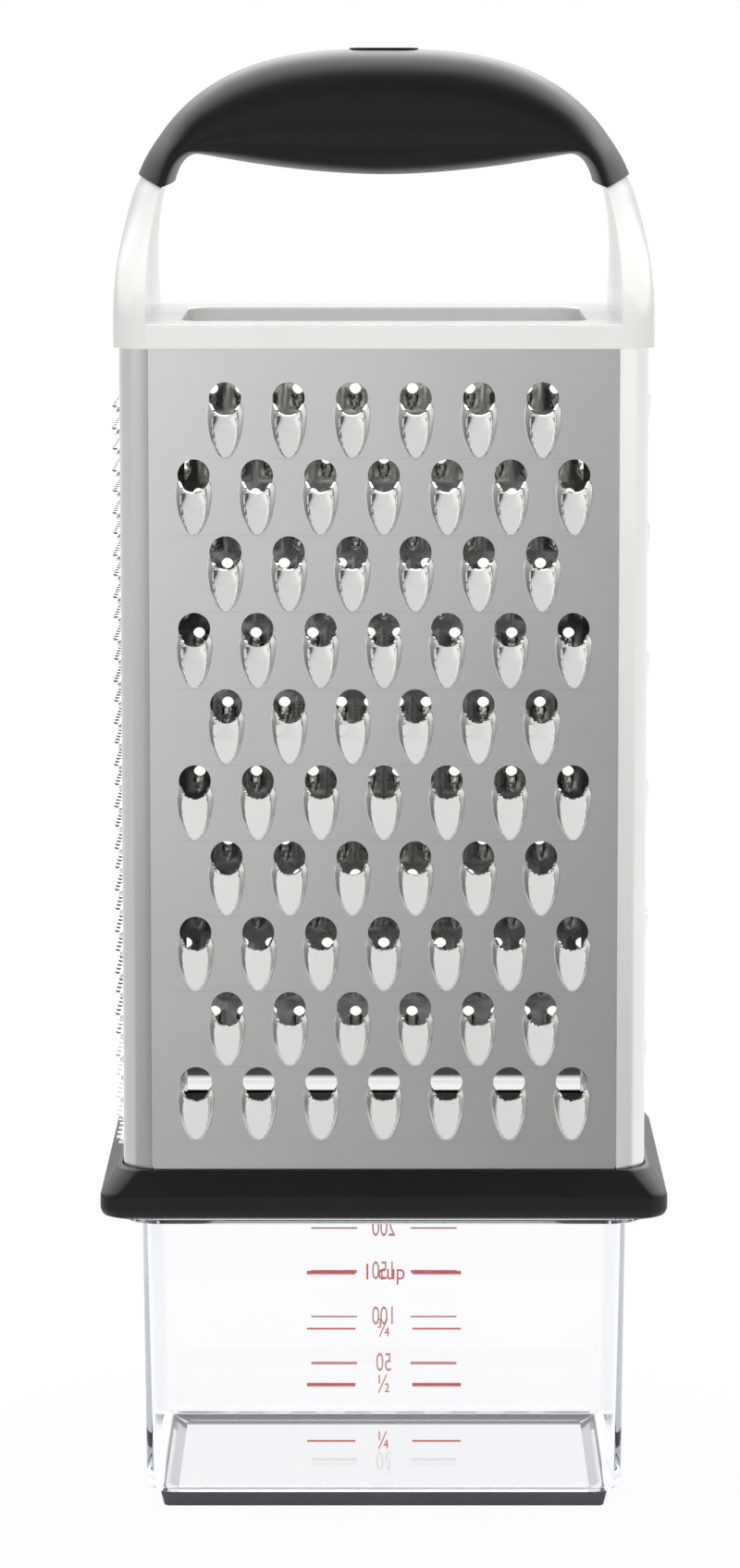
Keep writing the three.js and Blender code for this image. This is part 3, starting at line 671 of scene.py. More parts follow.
# The punching pattern: rows of tooth cells set into the blank sheet and welded to it. Each row is centred,
# and in a staggered pattern every other row has one tooth fewer.
punching = bpy.data.node_groups.new("punched_rows", "GeometryNodeTree")
sockets = {"Geometry": "Geometry", "Tooth": "Object", "Pitch": "Float", "Row pitch": "Float",
           "First row": "Float", "Most in a row": "Int", "Rows": "Int", "Stagger": "Int",
           "Full top row": "Int", "Finish": "Material"}
for label, kind in sockets.items():
    punching.interface.new_socket(label, in_out="INPUT", socket_type="NodeSocket" + kind)
punching.interface.new_socket("Geometry", in_out="OUTPUT", socket_type="NodeSocketGeometry")
given = add_node(punching, "NodeGroupInput").outputs
wires = {label: given[label] for label in sockets}
wires["number"] = add_node(punching, "GeometryNodeInputIndex")
for name, operation, first, second in (
        ("total", "MULTIPLY", "Most in a row", "Rows"),
        ("rows passed", "DIVIDE", "number", "Most in a row"),
        ("row", "FLOOR", "rows passed", 0),
        ("column", "MODULO", "number", "Most in a row"),
        ("turn", "ADD", "row", "Full top row"),
        ("odd", "MODULO", "turn", 2),
        ("even", "SUBTRACT", 1, "odd"),
        ("fewer", "MULTIPLY", "even", "Stagger"),
        ("in row", "SUBTRACT", "Most in a row", "fewer"),
        ("last", "SUBTRACT", "in row", 1),
        ("middle", "MULTIPLY", "last", 0.5),
        ("from middle", "SUBTRACT", "column", "middle"),
        ("across", "MULTIPLY", "from middle", "Pitch"),
        ("drop", "MULTIPLY", "row", "Row pitch"),
        ("level", "SUBTRACT", "First row", "drop")):
    wires[name] = add_node(punching, "ShaderNodeMath", {"operation": operation}, {
        0: wires.get(first, first), 1: wires.get(second, second)})
spot = add_node(punching, "ShaderNodeCombineXYZ", inputs={"X": wires["across"], "Z": wires["level"]})
spots = add_node(punching, "GeometryNodePoints", inputs={"Count": wires["total"], "Position": spot})
spare = add_node(punching, "FunctionNodeCompare", {"operation": "GREATER_THAN"}, {
    0: wires["column"], 1: wires["last"]})
kept = add_node(punching, "GeometryNodeDeleteGeometry", {"domain": "POINT"}, {
    "Geometry": spots, "Selection": spare})
tooth = add_node(punching, "GeometryNodeObjectInfo", inputs={
    "Object": given["Tooth"]}).outputs["Geometry"]
teeth = add_node(punching, "GeometryNodeInstanceOnPoints", inputs={"Points": kept, "Instance": tooth})
joined = add_node(punching, "GeometryNodeJoinGeometry", inputs={"Geometry": given["Geometry"]})
punching.links.new(teeth.outputs[0], joined.inputs["Geometry"])
solid = add_node(punching, "GeometryNodeRealizeInstances", inputs={"Geometry": joined})
welded = add_node(punching, "GeometryNodeMergeByDistance", inputs={
    "Geometry": solid, "Distance": CELL_WELD})
smooth = add_node(punching, "GeometryNodeSetShadeSmooth", inputs={"Geometry": welded})
finished = add_node(punching, "GeometryNodeSetMaterial", inputs={
    "Geometry": smooth, "Material": given["Finish"]})
add_node(punching, "NodeGroupOutput", inputs={"Geometry": finished})


def apply_modifiers(piece):
    """Puts the mesh that a piece's modifiers make in the place of its own."""
    mesh = bpy.data.meshes.new_from_object(piece.evaluated_get(bpy.context.evaluated_depsgraph_get()))
    piece.modifiers.clear()
    before = piece.data
    piece.data = mesh
    bpy.data.meshes.remove(before)


def punched_panel(name, tooth, half, grid, bend, turn, shift):
    """Sets rows of teeth into a blank sheet, gives it its thickness, and puts it in its place."""
    cell_top = max(vert.co.z for vert in tooth.data.vertices)
    sheet_piece = blank_sheet(name, half, cell_top, grid, bend)
    sheet_piece.data.materials.append(steel)
    sheet_piece.data.materials.append(inner_steel)
    pattern = sheet_piece.modifiers.new("teeth", "NODES")
    pattern.node_group = punching
    values = {"Tooth": tooth, "Finish": steel, **grid}
    for socket in punching.interface.items_tree:
        if socket.in_out == "INPUT" and socket.name in values:
            pattern[socket.identifier] = values[socket.name]
    wall = sheet_piece.modifiers.new("thickness", "SOLIDIFY")
    wall.thickness = SHEET
    wall.offset = -1
    wall.material_offset = 1
    apply_modifiers(sheet_piece)
    sheet_piece.data.transform(Matrix.Translation(shift) @ Matrix.Rotation(turn, 4, "Z"))
    sheet_piece.data.set_sharp_from_angle(angle=PANEL_CREASE)
    bpy.data.objects.remove(tooth)
    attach(sheet_piece, "grater")
    return sheet_piece


coarse_grid = {"Pitch": 12 * MM, "Row pitch": 14.57 * MM, "First row": panel_high.z - 12 * MM,
               "Most in a row": 7, "Rows": 10, "Stagger": 1, "Full top row": 0}
coarse_tooth = scoop_cell(
    "coarse_tooth", coarse_grid, hole=3.05 * MM, lip_drop=3.2 * MM, width=3.37 * MM, shoulder=0.9 * MM,
    waist=2.6 * MM, length=11.35 * MM, rise=2.6 * MM, count=44, arc_count=22,
    insets=[0.08 * MM, 0.16 * MM, 0.24 * MM, 0.34 * MM, 0.46 * MM, 0.6 * MM, 0.8 * MM, 1.1 * MM])
coarse_panel = punched_panel("coarse_panel", coarse_tooth, HALF_FLAT, coarse_grid, [], 0,
                             Vector((0, -BODY_Y, 0)))
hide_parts("front_panel")

# Medium panel: the same steel at the back, punched with small staggered holes that each have a raised
# lip. It is the coarse scoop made small.
medium_grid = {"Pitch": 5.76 * MM, "Row pitch": 7.07 * MM, "First row": panel_high.z - 15.1 * MM,
               "Most in a row": 15, "Rows": 19, "Stagger": 1, "Full top row": 1}
medium_tooth = scoop_cell(
    "medium_tooth", medium_grid, hole=1.2 * MM, lip_drop=1.2 * MM, width=1.5 * MM, shoulder=0.3 * MM,
    waist=0.9 * MM, length=4.3 * MM, rise=1.25 * MM, count=12, arc_count=10, insets=[0.25 * MM, 0.55 * MM])
medium_panel = punched_panel("medium_panel", medium_tooth, HALF_FLAT, medium_grid, [], math.pi,
                             Vector((0, BODY_Y, 0)))
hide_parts("back_panel")

# Fine panel: the left side, one sheet with both rolled corners and the laps behind the flat panels.
# Small holes are punched through from inside, and the torn metal stands out as four points round each.
FINE_ROOT = 0.95 * MM
FINE_MIDDLE = 0.8 * MM
FINE_PEAK = 0.72 * MM
FINE_VALLEY = 0.55 * MM
FINE_RISES = (0.9 * MM, 1.7 * MM, 0.7 * MM, 1.2 * MM)
FINE_LOW = 0.4 * MM
FINE_VALLEY_RISE = 1.2 * FINE_LOW
FINE_SIDES = 8
fine_grid = {"Pitch": 4.6 * MM, "Row pitch": 4.05 * MM, "First row": panel_high.z - 14.9 * MM,
             "Most in a row": 12, "Rows": 36, "Stagger": 1, "Full top row": 0}
LAP_WIDTH = 4.4 * MM
LAP_INSET = 0.8 * MM


def burr_cell():
    """Four torn points round a small hole: a bent collar whose edge runs over peaks and valleys."""
    turns = [(i + 0.5) * 2 * math.pi / FINE_SIDES for i in range(FINE_SIDES)]
    half_row = fine_grid["Row pitch"] / 2
    border = cell_border(fine_grid["Pitch"], -half_row, half_row)
    root = [(FINE_ROOT * math.cos(a), FINE_ROOT * math.sin(a)) for a in turns]
    ties = [(i, (i + 1) % len(border)) for i in range(len(border))]
    ties += [(len(border) + i, len(border) + (i + 1) % FINE_SIDES) for i in range(FINE_SIDES)]
    found = geometry.delaunay_2d_cdt([Vector(p) for p in border + root], ties, [], 0, CELL_NEAREST)
    points = [((p.x, 0, p.y), False) for p in found[0]]
    faces = faces_outside(found, root)
    start = len(points)
    torn = []
    for rise in FINE_RISES:
        torn += [(FINE_PEAK, rise), (FINE_VALLEY, FINE_VALLEY_RISE)]
    for ring in ([(FINE_ROOT, 0)] * FINE_SIDES, [(FINE_MIDDLE, FINE_LOW)] * FINE_SIDES, torn):
        for (radius, out), a in zip(ring, turns):
            points.append(((radius * math.cos(a), -out, radius * math.sin(a)), out > 0))
    for ring_start in (start, start + FINE_SIDES):
        for i in range(FINE_SIDES):
            a, b = ring_start + i, ring_start + (i + 1) % FINE_SIDES
            faces.append([a, b, b + FINE_SIDES, a + FINE_SIDES])
    return cell_object("fine_burr", points, faces)


# Stations of the rolled corner and its lap, seen from the side panel's own middle
quarter = plan(0)[1:CORNER_STEPS + 2]
SIDE_HALF = abs(quarter[-1][1])
roll = [(-y, BODY_X - x) for x, y in quarter[:-1]][::-1]
crease_u, crease_y = roll[-1]
roll += [(crease_u - LAP_INSET, crease_y), (crease_u - LAP_INSET, crease_y + LAP_WIDTH)]
fine_panel = punched_panel("fine_panel", burr_cell(), SIDE_HALF, fine_grid, roll, -math.pi / 2,
                           Vector((-BODY_X, 0, 0)))
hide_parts("left_panel")

# Slicing panel: the right side, rolled like the left, with long slots whose lower edge is raised
# into a blade.
BLADE_HALF = 23 * MM
BLADE_SLOT = 3 * MM
BLADE_RAMP = 9 * MM
BLADE_RISE = 1 * MM
BLADE_ABOVE = 5 * MM
BLADE_BLEND = 3 * MM
BLADE_TIP = 0.25
BLADE_STEPS = 36
SLOT_CORNER = [(0, 0), (0.4 * MM, 0.7 * BLADE_SLOT), (1.6 * MM, BLADE_SLOT)]
RAMP_SQUARE = 0.35
RAMP_ROUND = 0.5
BLADE_INSETS = [0.3 * MM, 0.7 * MM, 1.2 * MM, 1.8 * MM, 2.4 * MM, 3 * MM, 4.5 * MM]
blade_grid = {"Pitch": 52 * MM, "Row pitch": 25 * MM, "First row": panel_high.z - 12.8 * MM,
              "Most in a row": 1, "Rows": 6, "Stagger": 0, "Full top row": 0}


def signed_power(value, power):
    return math.copysign(abs(value) ** power, value)


def blade_cell():
    """A slot over a wide ramp that ends in a raised cutting edge."""
    upper = [(BLADE_HALF - inset, z) for inset, z in SLOT_CORNER]
    upper += [(-u, z) for u, z in upper[::-1]]
    root, edge = [], []
    for i in range(BLADE_STEPS + 1):
        angle = math.pi + math.pi * i / BLADE_STEPS
        across = signed_power(math.cos(angle), RAMP_SQUARE)
        root.append((BLADE_HALF * across, -BLADE_RAMP * abs(math.sin(angle)) ** RAMP_ROUND))
        edge.append((BLADE_HALF * math.cos(angle), 0))
    edge[0], edge[-1] = root[0], root[-1]

    def height_at(u, z):
        near = min(1.0, distance_to(root, u, z) / BLADE_BLEND)
        climb = BLADE_TIP + (1 - BLADE_TIP) * (z + BLADE_RAMP) / BLADE_RAMP
        return BLADE_RISE * (1 - (1 - near) ** 2) * climb

    top = BLADE_SLOT + BLADE_ABOVE
    return tooth_cell("slicing_blade", blade_grid["Pitch"], top, top - blade_grid["Row pitch"],
                      upper, root, edge, BLADE_INSETS, height_at)


slicing_panel = punched_panel("slicing_panel", blade_cell(), SIDE_HALF, blade_grid, roll, math.pi / 2,
                              Vector((BODY_X, 0, 0)))
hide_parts("right_panel")

# Handle frame: white ABS in one moulding, a collar over the top of the tube with two legs that rise
# from its sides and lean in to carry the grip.
WHITE_PALE = "#f4f4f1"
WHITE_GREY = "#eeeeea"
WHITE_CLOUD = 14 * MM
COLLAR_PROUD = 1.1 * MM
COLLAR_HEIGHT = 4.7 * MM
COLLAR_PLATE = 1.8 * MM
COLLAR_SEAT = 0.2 * MM
COLLAR_FOOT_ROUND = 0.3 * MM
COLLAR_ROUND = 0.6 * MM
MOUTH_ROUND = 0.2 * MM
HANDLE_CREASE = math.radians(14)
MOUTH_INSET = 11.6 * MM
MOUTH_RADIUS = 5 * MM
MOUTH_LIP = 3.7 * MM
MOUTH_RIM = 1.4 * MM
ARCH_SINK = 2.2 * MM
ARCH_RISE = 53.4 * MM
ARCH_POWER = 2.7
LEG_THICKNESS = 6.44 * MM
LEG_CORNER = 8.7 * MM
NECK_DEPTH = 30 * MM
NECK_THICKNESS = 5.3 * MM
LEG_STEPS = 40
LEG_SINK = 0.35 * MM
LEG_LAP = 3 * MM
LEG_LIFT = 0.02 * MM
LEG_PROUD = 0.01 * MM
LEG_ROUND_FROM = 0.35
GRIP_END_HEIGHT = 26.4 * MM
COLLAR_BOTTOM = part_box("handle_frame")[0].z
COLLAR_TOP = COLLAR_BOTTOM + COLLAR_HEIGHT
ARCH_HALF = BODY_X + COLLAR_PROUD
ARCH_BASE = COLLAR_TOP - ARCH_SINK
CROWN = ARCH_BASE + ARCH_RISE
GRIP_END = COLLAR_TOP + GRIP_END_HEIGHT

# Moulded ABS: opaque, even and satin, with soft wide highlights.
white_abs, tree, _, cloud, tone = new_finish(
    "white_ABS_satin_moulded", WHITE_PALE, WHITE_GREY, WHITE_CLOUD)
gloss = add_node(tree, "ShaderNodeMapRange", inputs={"Value": cloud, "To Min": 0.13, "To Max": 0.19})
plastic = add_node(tree, "ShaderNodeBsdfPrincipled", inputs={
    "Base Color": tone, "Roughness": gloss, "IOR": 1.53, "Specular IOR Level": 0.3})
add_node(tree, "ShaderNodeOutputMaterial", inputs={"Surface": plastic})


def smooth_step(low, high, value):
    t = min(1.0, max(0.0, (value - low) / (high - low)))
    return t * t * (3 - 2 * t)


def arch_x(z):
    share = max(0.0, (z - ARCH_BASE) / ARCH_RISE)
    return ARCH_HALF * (1 - share ** ARCH_POWER) ** (1 / ARCH_POWER)


def leg_loops(side):
    """Level sections of a leg: a straight inner face and the tube's rolled corners outside."""
    depth = 2 * (BODY_Y + COLLAR_PROUD)
    full = 1 - math.cos(CORNER_SWEEP)
    low = COLLAR_BOTTOM + LEG_LIFT
    top = GRIP_END + LEG_LAP
    loops = []
    for step in range(LEG_STEPS + 1):
        z = low + (top - low) * step / LEG_STEPS
        share = min(1.0, max(0.0, (z - COLLAR_TOP) / (GRIP_END - COLLAR_TOP)))
        sunk = smooth_step(GRIP_END - LEG_LAP, GRIP_END, z) * LEG_SINK
        half = (depth + (NECK_DEPTH - depth) * smooth_step(0, 1, share)) / 2 + LEG_PROUD - sunk
        thickness = LEG_THICKNESS + (NECK_THICKNESS - LEG_THICKNESS) * share
        outer = arch_x(z) + LEG_PROUD - sunk
        corner = LEG_CORNER + (half - LEG_CORNER) * smooth_step(LEG_ROUND_FROM, 1, share)
        quarter_points = []
        for turn in range(CORNER_STEPS + 1):
            angle = CORNER_SWEEP * (1 - turn / CORNER_STEPS)
            x = outer - thickness * (1 - math.cos(angle)) / full
            y = half - corner + corner * math.sin(angle) / math.sin(CORNER_SWEEP)
            quarter_points.append((x, y))
        loop = [(side * x, y, z) for x, y in quarter_points]
        loop += [(side * x, -y, z) for x, y in quarter_points[::-1]]
        loops.append(loop)
    return loops


collar_profile = rounded([
    (COLLAR_PROUD, COLLAR_BOTTOM, COLLAR_FOOT_ROUND),
    (COLLAR_PROUD, COLLAR_TOP, COLLAR_ROUND),
    (-MOUTH_INSET, COLLAR_TOP, COLLAR_ROUND),
    (-MOUTH_INSET, COLLAR_TOP - MOUTH_LIP, MOUTH_ROUND),
    (MOUTH_RIM - MOUTH_INSET, COLLAR_TOP - MOUTH_LIP, MOUTH_ROUND),
    (MOUTH_RIM - MOUTH_INSET, COLLAR_TOP - COLLAR_PLATE, 0),
    (COLLAR_SEAT, COLLAR_TOP - COLLAR_PLATE, 0),
    (COLLAR_SEAT, COLLAR_BOTTOM, 0)])
handle_frame = make_piece("white_handle_frame", *moulding(collar_profile, least=MOUTH_RADIUS), white_abs)
for side in (-1, 1):
    leg = make_piece("leg", *loft(leg_loops(side), ring=False), white_abs)
    join = handle_frame.modifiers.new("leg", "BOOLEAN")
    join.operation = "UNION"
    join.object = leg
    apply_modifiers(handle_frame)
    bpy.data.objects.remove(leg)
handle_frame.data.set_sharp_from_angle(angle=HANDLE_CREASE)
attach(handle_frame, "grater")
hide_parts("handle_frame")

# Liner: a frame inside the top of the tube, which clamps the panels to the collar.
# It keeps its solid from the frame and is moulded of the same white ABS.
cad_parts["collar_liner"].data.materials.clear()
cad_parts["collar_liner"].data.materials.append(white_abs)

# Grip: soft black rubber moulded over the bridge of the handle, full in the hand and drawn out to a
# ridge where it runs on to the legs. A thin plain pad stands on its crown.
GRIP_STATIONS = 96
GRIP_SIDES = 48
GRIP_END_THICKNESS = 7 * MM
GRIP_END_DEPTH = 31.5 * MM
GRIP_DEPTH = 31 * MM
GRIP_BELLY = 24.2 * MM
BELLY_RISE = 3.8 * MM
BELLY_HALF = 34.3 * MM
BELLY_POWER = 1.8
KNEE_LEAN = 1.2 * MM
KNEE_STEPS = 40
BELLY_STEPS = 60
GRIP_FILLET = 4.6 * MM
GRIP_SQUARE = 2.5
GRIP_END_SQUARE = 1.8
RIDGE_DROP = 1.2 * MM
END_TILT = 0.75 * MM
RIDGE_LEAN = -0.4
RIDGE_FROM = 0.62
TILT_FROM = 0.8
PAD_SIZE = (13.4 * MM, 9 * MM)
PAD_SQUARE = 0.5
# Inset from the pad's edge and height over the crown
PAD_STEPS = [(0, -0.8 * MM), (0, 0.08 * MM), (0.12 * MM, 0.2 * MM), (0.4 * MM, 0.26 * MM)]


def grip_outer(share):
    end_share = (GRIP_END - ARCH_BASE) / ARCH_RISE
    end_x = arch_x(GRIP_END) / ARCH_HALF
    end_angle = math.atan2(end_share ** (ARCH_POWER / 2), end_x ** (ARCH_POWER / 2))
    angle = math.pi - end_angle - (math.pi - 2 * end_angle) * share
    x = ARCH_HALF * signed_power(math.cos(angle), 2 / ARCH_POWER)
    return Vector((x, 0, ARCH_BASE + ARCH_RISE * math.sin(angle) ** (2 / ARCH_POWER)))


def grip_under_line():
    """Underside from the left end to the right one: up the leg, round a fillet, along the belly."""
    inner = arch_x(GRIP_END) - GRIP_END_THICKNESS
    belly = CROWN - GRIP_BELLY
    knee = inner - GRIP_FILLET
    knee_z = belly + BELLY_RISE * (knee / BELLY_HALF) ** BELLY_POWER
    start, end = Vector((inner, 0, GRIP_END)), Vector((knee, 0, knee_z))
    bend = Vector((inner - KNEE_LEAN, 0, knee_z))
    points = []
    for i in range(KNEE_STEPS + 1):
        t = i / KNEE_STEPS
        points.append(start * (1 - t) ** 2 + bend * 2 * t * (1 - t) + end * t * t)
    for i in range(1, BELLY_STEPS + 1):
        x = knee * (1 - i / BELLY_STEPS)
        points.append(Vector((x, 0, belly + BELLY_RISE * (x / BELLY_HALF) ** BELLY_POWER)))
    left = [Vector((-p.x, 0, p.z)) for p in points]
    return left + points[-2::-1]


under_line = grip_under_line()
under_length = [0.0]
for a, b in zip(under_line, under_line[1:]):
    under_length.append(under_length[-1] + (b - a).length)


def grip_under(share):
    goal = share * under_length[-1]
    for i in range(1, len(under_line)):
        if under_length[i] >= goal:
            part = (goal - under_length[i - 1]) / (under_length[i] - under_length[i - 1])
            return under_line[i - 1].lerp(under_line[i], part)
    return under_line[-1]


grip_loops = []
for station in range(GRIP_STATIONS + 1):
    share = station / GRIP_STATIONS
    outer, inner = grip_outer(share), grip_under(share)
    from_end = abs(2 * share - 1)
    end_part = smooth_step(RIDGE_FROM, 1.0, from_end)
    depth = GRIP_DEPTH + (GRIP_END_DEPTH - GRIP_DEPTH) * from_end
    power = GRIP_SQUARE + (GRIP_END_SQUARE - GRIP_SQUARE) * end_part
    ridge = RIDGE_LEAN * end_part
    centre, reach = (outer + inner) / 2, (outer - inner) / 2
    loop = []
    for side in range(GRIP_SIDES):
        angle = 2 * math.pi * side / GRIP_SIDES
        across = signed_power(math.cos(angle), 2 / power)
        along = signed_power(math.sin(angle), 2 / power)
        along += ridge * (1 - along * along)
        point = centre + reach * along
        lean = (1 - along) / (1 - ridge) if along > ridge else (1 + along) / (1 + ridge)
        drop = (RIDGE_DROP * lean - END_TILT * along) * smooth_step(TILT_FROM, 1.0, from_end)
        loop.append((point.x, across * depth / 2, point.z - drop))
    grip_loops.append(loop)
grip = make_piece("soft_grip", *loft(grip_loops, ring=False), soft_rubber, crease=50)
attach(grip, "grater")
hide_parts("grip")

pad_loops = []
for inset, z in PAD_STEPS:
    loop = []
    for side in range(GRIP_SIDES):
        angle = 2 * math.pi * side / GRIP_SIDES
        x = (PAD_SIZE[0] / 2 - inset) * signed_power(math.cos(angle), PAD_SQUARE)
        y = (PAD_SIZE[1] / 2 - inset) * signed_power(math.sin(angle), PAD_SQUARE)
        loop.append((x, y, CROWN + z))
    pad_loops.append(loop)
grip_pad = make_piece("grip_crown_pad", *loft(pad_loops, ring=False), soft_rubber)
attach(grip_pad, "grater")

# Studio: a small pale table top under the grater, four soft lamps, and a white surround that is greyer
# in front, where the camera stands.
FLOOR_HALF = 0.22
FLOOR_PALE = "#f8f8f8"
FLOOR_GREY = "#f4f4f4"
FLOOR_VEIL = 0.93
FLOOR_MIRRORED = 0.4
FLOOR_CLOUD = 0.25
FLOOR_FADE = (0.06, 0.15)
# What bright metal mirrors: ramps of brightness along one axis of the direction, from -1 to 1. The front is
# given from left to right and by height, below it has a ramp of its own, and behind it goes by height.
MIRRORED = {
    "front walls": ("X", [
        (-1.0, 0.66), (-0.8, 0.58), (-0.62, 0.42), (-0.48, 0.42), (-0.38, 0.7), (-0.3, 1.15), (-0.12, 1.0),
        (0.0, 0.62), (0.12, 0.14), (0.3, 0.1), (0.42, 0.6), (0.55, 1.0), (1.0, 1.0)]),
    "front fall": ("Z", [
        (-1.0, 0.4), (-0.35, 0.4), (-0.2, 0.62), (-0.13, 0.85), (-0.06, 1.25), (0.1, 1.35), (0.3, 0.5),
        (1.0, 0.35)]),
    "low walls": ("X", [
        (-1.0, 1.0), (-0.78, 0.95), (-0.68, 0.3), (-0.5, 0.08), (-0.35, 0.12), (-0.22, 0.6), (-0.1, 0.8),
        (0.05, 0.88), (0.2, 1.1), (0.4, 1.15), (0.55, 0.5), (0.65, 0.35), (0.75, 1.0), (1.0, 1.1)]),
    "back rise": ("Z", [
        (-1.0, 1.2), (-0.32, 1.2), (-0.22, 1.0), (-0.05, 1.0), (0.06, 0.68), (0.16, 0.85), (0.4, 2.7),
        (1.0, 2.8)])}
# Soft changes between two values of an axis: the axis, where it starts and ends, and the two values
CHANGES = {
    "low": ("Z", -0.42, -0.32, 1.0, 0.0), "behind": ("Y", -0.15, 0.1, 0.0, 1.0),
    "back sides": ("X", -0.9, 0.1, 0.68, 1.05), "back top": ("Z", 0.0, 0.12, 1.0, 1.15),
    "front light": ("Z", -0.1, 0.15, 0.5, 0.72), "round": ("Y", -0.3, 0.4, 0.0, 1.0),
    "left side": ("X", -0.9, -0.2, 0.85, 1.0), "right side": ("X", 0.2, 0.9, 1.0, 0.85)}
BACK_LIGHT = 0.9
# Place, aim, size in metres, power in watts, and whether the steel and the tub show the lamp. The front one
# only lights matt surfaces, because the surround already is what the steel mirrors.
SOFTBOXES = {
    "top_softbox": ((-0.25, 0.1, 1.3), (0, 0, 0.12), 0.9, 0.8, True),
    "side_softbox": ((1.1, -0.9, 0.9), (0, 0, 0.15), 0.7, 0.6, True),
    "back_softbox": ((0, 1.1, 0.85), (0, 0, 0.27), 0.8, 2.0, True),
    "front_softbox": ((0, -1.45, 0.75), (0, 0, 0.2), 0.9, 7.5, False)}

table_finish, tree, place, _, tone = new_finish(
    "white_laminate_table", FLOOR_PALE, FLOOR_GREY, FLOOR_CLOUD, detail=2)
board = add_node(tree, "ShaderNodeBsdfDiffuse", inputs={"Color": tone})
white = add_node(tree, "ShaderNodeEmission", inputs={"Strength": 1.0})
away = add_node(tree, "ShaderNodeVectorMath", {"operation": "LENGTH"}, {0: place})
fade = add_node(tree, "ShaderNodeMapRange", {"interpolation_type": "SMOOTHSTEP"}, {
    "Value": away.outputs["Value"], "From Min": FLOOR_FADE[0], "From Max": FLOOR_FADE[1],
    "To Min": FLOOR_VEIL})
ray = add_node(tree, "ShaderNodeLightPath")
seen = add_node(tree, "ShaderNodeMath", {"operation": "MAXIMUM"}, {
    0: ray.outputs["Is Camera Ray"], 1: ray.outputs["Is Transmission Ray"]})
mirrored = add_node(tree, "ShaderNodeMath", {"operation": "MULTIPLY"}, {
    0: ray.outputs["Is Glossy Ray"], 1: FLOOR_MIRRORED})
whitened = add_node(tree, "ShaderNodeMath", {"operation": "MAXIMUM"}, {0: seen, 1: mirrored})
veil = add_node(tree, "ShaderNodeMath", {"operation": "MULTIPLY"}, {0: whitened, 1: fade})
top = add_node(tree, "ShaderNodeMixShader", inputs={"Fac": veil, 1: board, 2: white})
add_node(tree, "ShaderNodeOutputMaterial", inputs={"Surface": top})
table_mesh = bpy.data.meshes.new("table_top")
table_mesh.from_pydata(
    [(-FLOOR_HALF, -FLOOR_HALF, 0), (FLOOR_HALF, -FLOOR_HALF, 0), (FLOOR_HALF, FLOOR_HALF, 0),
     (-FLOOR_HALF, FLOOR_HALF, 0)], [], [(0, 1, 2, 3)])
table_mesh.materials.append(table_finish)
table = add_object("table_top", table_mesh)

world = bpy.data.worlds.new("white_studio")
bpy.context.scene.world = world
world.use_nodes = True
tree = world.node_tree
tree.nodes.clear()
ray = add_node(tree, "ShaderNodeLightPath").outputs
heading = add_node(tree, "ShaderNodeTexCoord").outputs["Generated"]
axes = add_node(tree, "ShaderNodeSeparateXYZ", inputs={"Vector": heading}).outputs
shown = add_node(tree, "ShaderNodeMath", {"operation": "MAXIMUM"}, {
    0: ray["Is Camera Ray"], 1: ray["Is Transmission Ray"]})
light = {"glossy": ray["Is Glossy Ray"], "shown": shown}
for name, (axis, stops) in MIRRORED.items():
    share = add_node(tree, "ShaderNodeMapRange", inputs={
        "Value": axes[axis], "From Min": -1.0, "From Max": 1.0})
    ramp = add_node(tree, "ShaderNodeValToRGB", inputs={"Fac": share})
    elements = ramp.color_ramp.elements
    while len(elements) < len(stops):
        elements.new(0.5)
    for element, (at, brightness) in zip(elements, stops):
        element.position = (at + 1) / 2
        element.color = (brightness, brightness, brightness, 1)
    light[name] = ramp
for name, (axis, low, high, start, end) in CHANGES.items():
    light[name] = add_node(tree, "ShaderNodeMapRange", {"interpolation_type": "SMOOTHSTEP"}, {
        "Value": axes[axis], "From Min": low, "From Max": high, "To Min": start,
        "To Max": end})
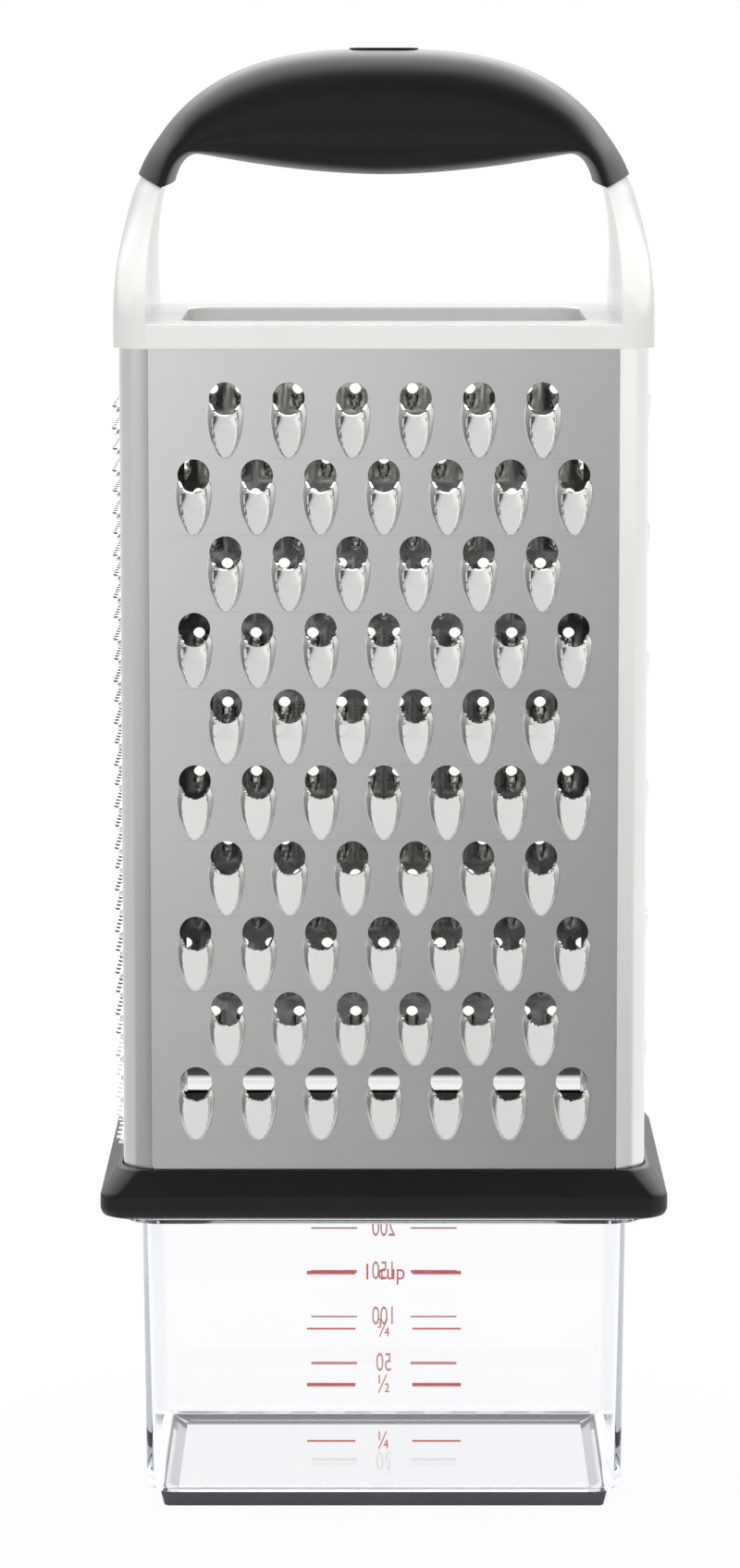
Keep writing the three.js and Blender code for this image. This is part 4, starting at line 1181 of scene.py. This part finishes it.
# Each step blends two lights by a share, or multiplies them where it has none
for name, share, first, second in (
        ("front", None, "front walls", "front fall"),
        ("front", "low", "front", "low walls"),
        ("back", None, "back rise", "back sides"),
        ("back", None, "back", "back top"),
        ("mirror", "behind", "front", "back"),
        ("sides", None, "left side", "right side"),
        ("matt", "round", "front light", BACK_LIGHT),
        ("matt", None, "matt", "sides"),
        ("lit", "glossy", "matt", "mirror"),
        ("strength", "shown", "lit", 1.0)):
    pair = [light.get(first, first), light.get(second, second)]
    if share is None:
        step = add_node(tree, "ShaderNodeMath", {"operation": "MULTIPLY"}, {0: pair[0], 1: pair[1]})
    else:
        step = add_node(tree, "ShaderNodeMix", {"data_type": "FLOAT"}, {
            0: light[share], 2: pair[0], 3: pair[1]})
    light[name] = step
surround = add_node(tree, "ShaderNodeBackground", inputs={
    "Color": (1, 1, 1, 1), "Strength": light["strength"]})
add_node(tree, "ShaderNodeOutputWorld", inputs={"Surface": surround})

for name, (place, aim, size, power, mirrored) in SOFTBOXES.items():
    lamp = bpy.data.lights.new(name, "AREA")
    lamp.shape = "DISK"
    lamp.size = size
    lamp.energy = power
    holder = add_object(name, lamp)
    holder.location = place
    holder.rotation_euler = (Vector(aim) - Vector(place)).to_track_quat("-Z", "Y").to_euler()
    holder.visible_glossy = mirrored
    holder.visible_transmission = mirrored

# Camera: at the photograph's height and distance, turned down on to the grater.
CAMERA_DISTANCE = 1.1
CAMERA_HEIGHT = 0.289
CAMERA_PITCH = math.radians(7.57)
IMAGE_HEIGHT = 1694
FOCAL_PIXELS = 6300
CENTRE_PIXELS = 15
SENSOR_WIDTH = 36
camera = bpy.data.cameras.new("camera")
camera.sensor_width = SENSOR_WIDTH
camera.lens = FOCAL_PIXELS / IMAGE_HEIGHT * camera.sensor_width
camera.shift_x = -CENTRE_PIXELS / IMAGE_HEIGHT
camera_holder = add_object("camera", camera)
camera_holder.location = (0, -BODY_Y - CAMERA_DISTANCE, CAMERA_HEIGHT)
camera_holder.rotation_euler = (math.pi / 2 - CAMERA_PITCH, 0, 0)
bpy.context.scene.camera = camera_holder
bpy.context.scene.view_settings.view_transform = "Standard"
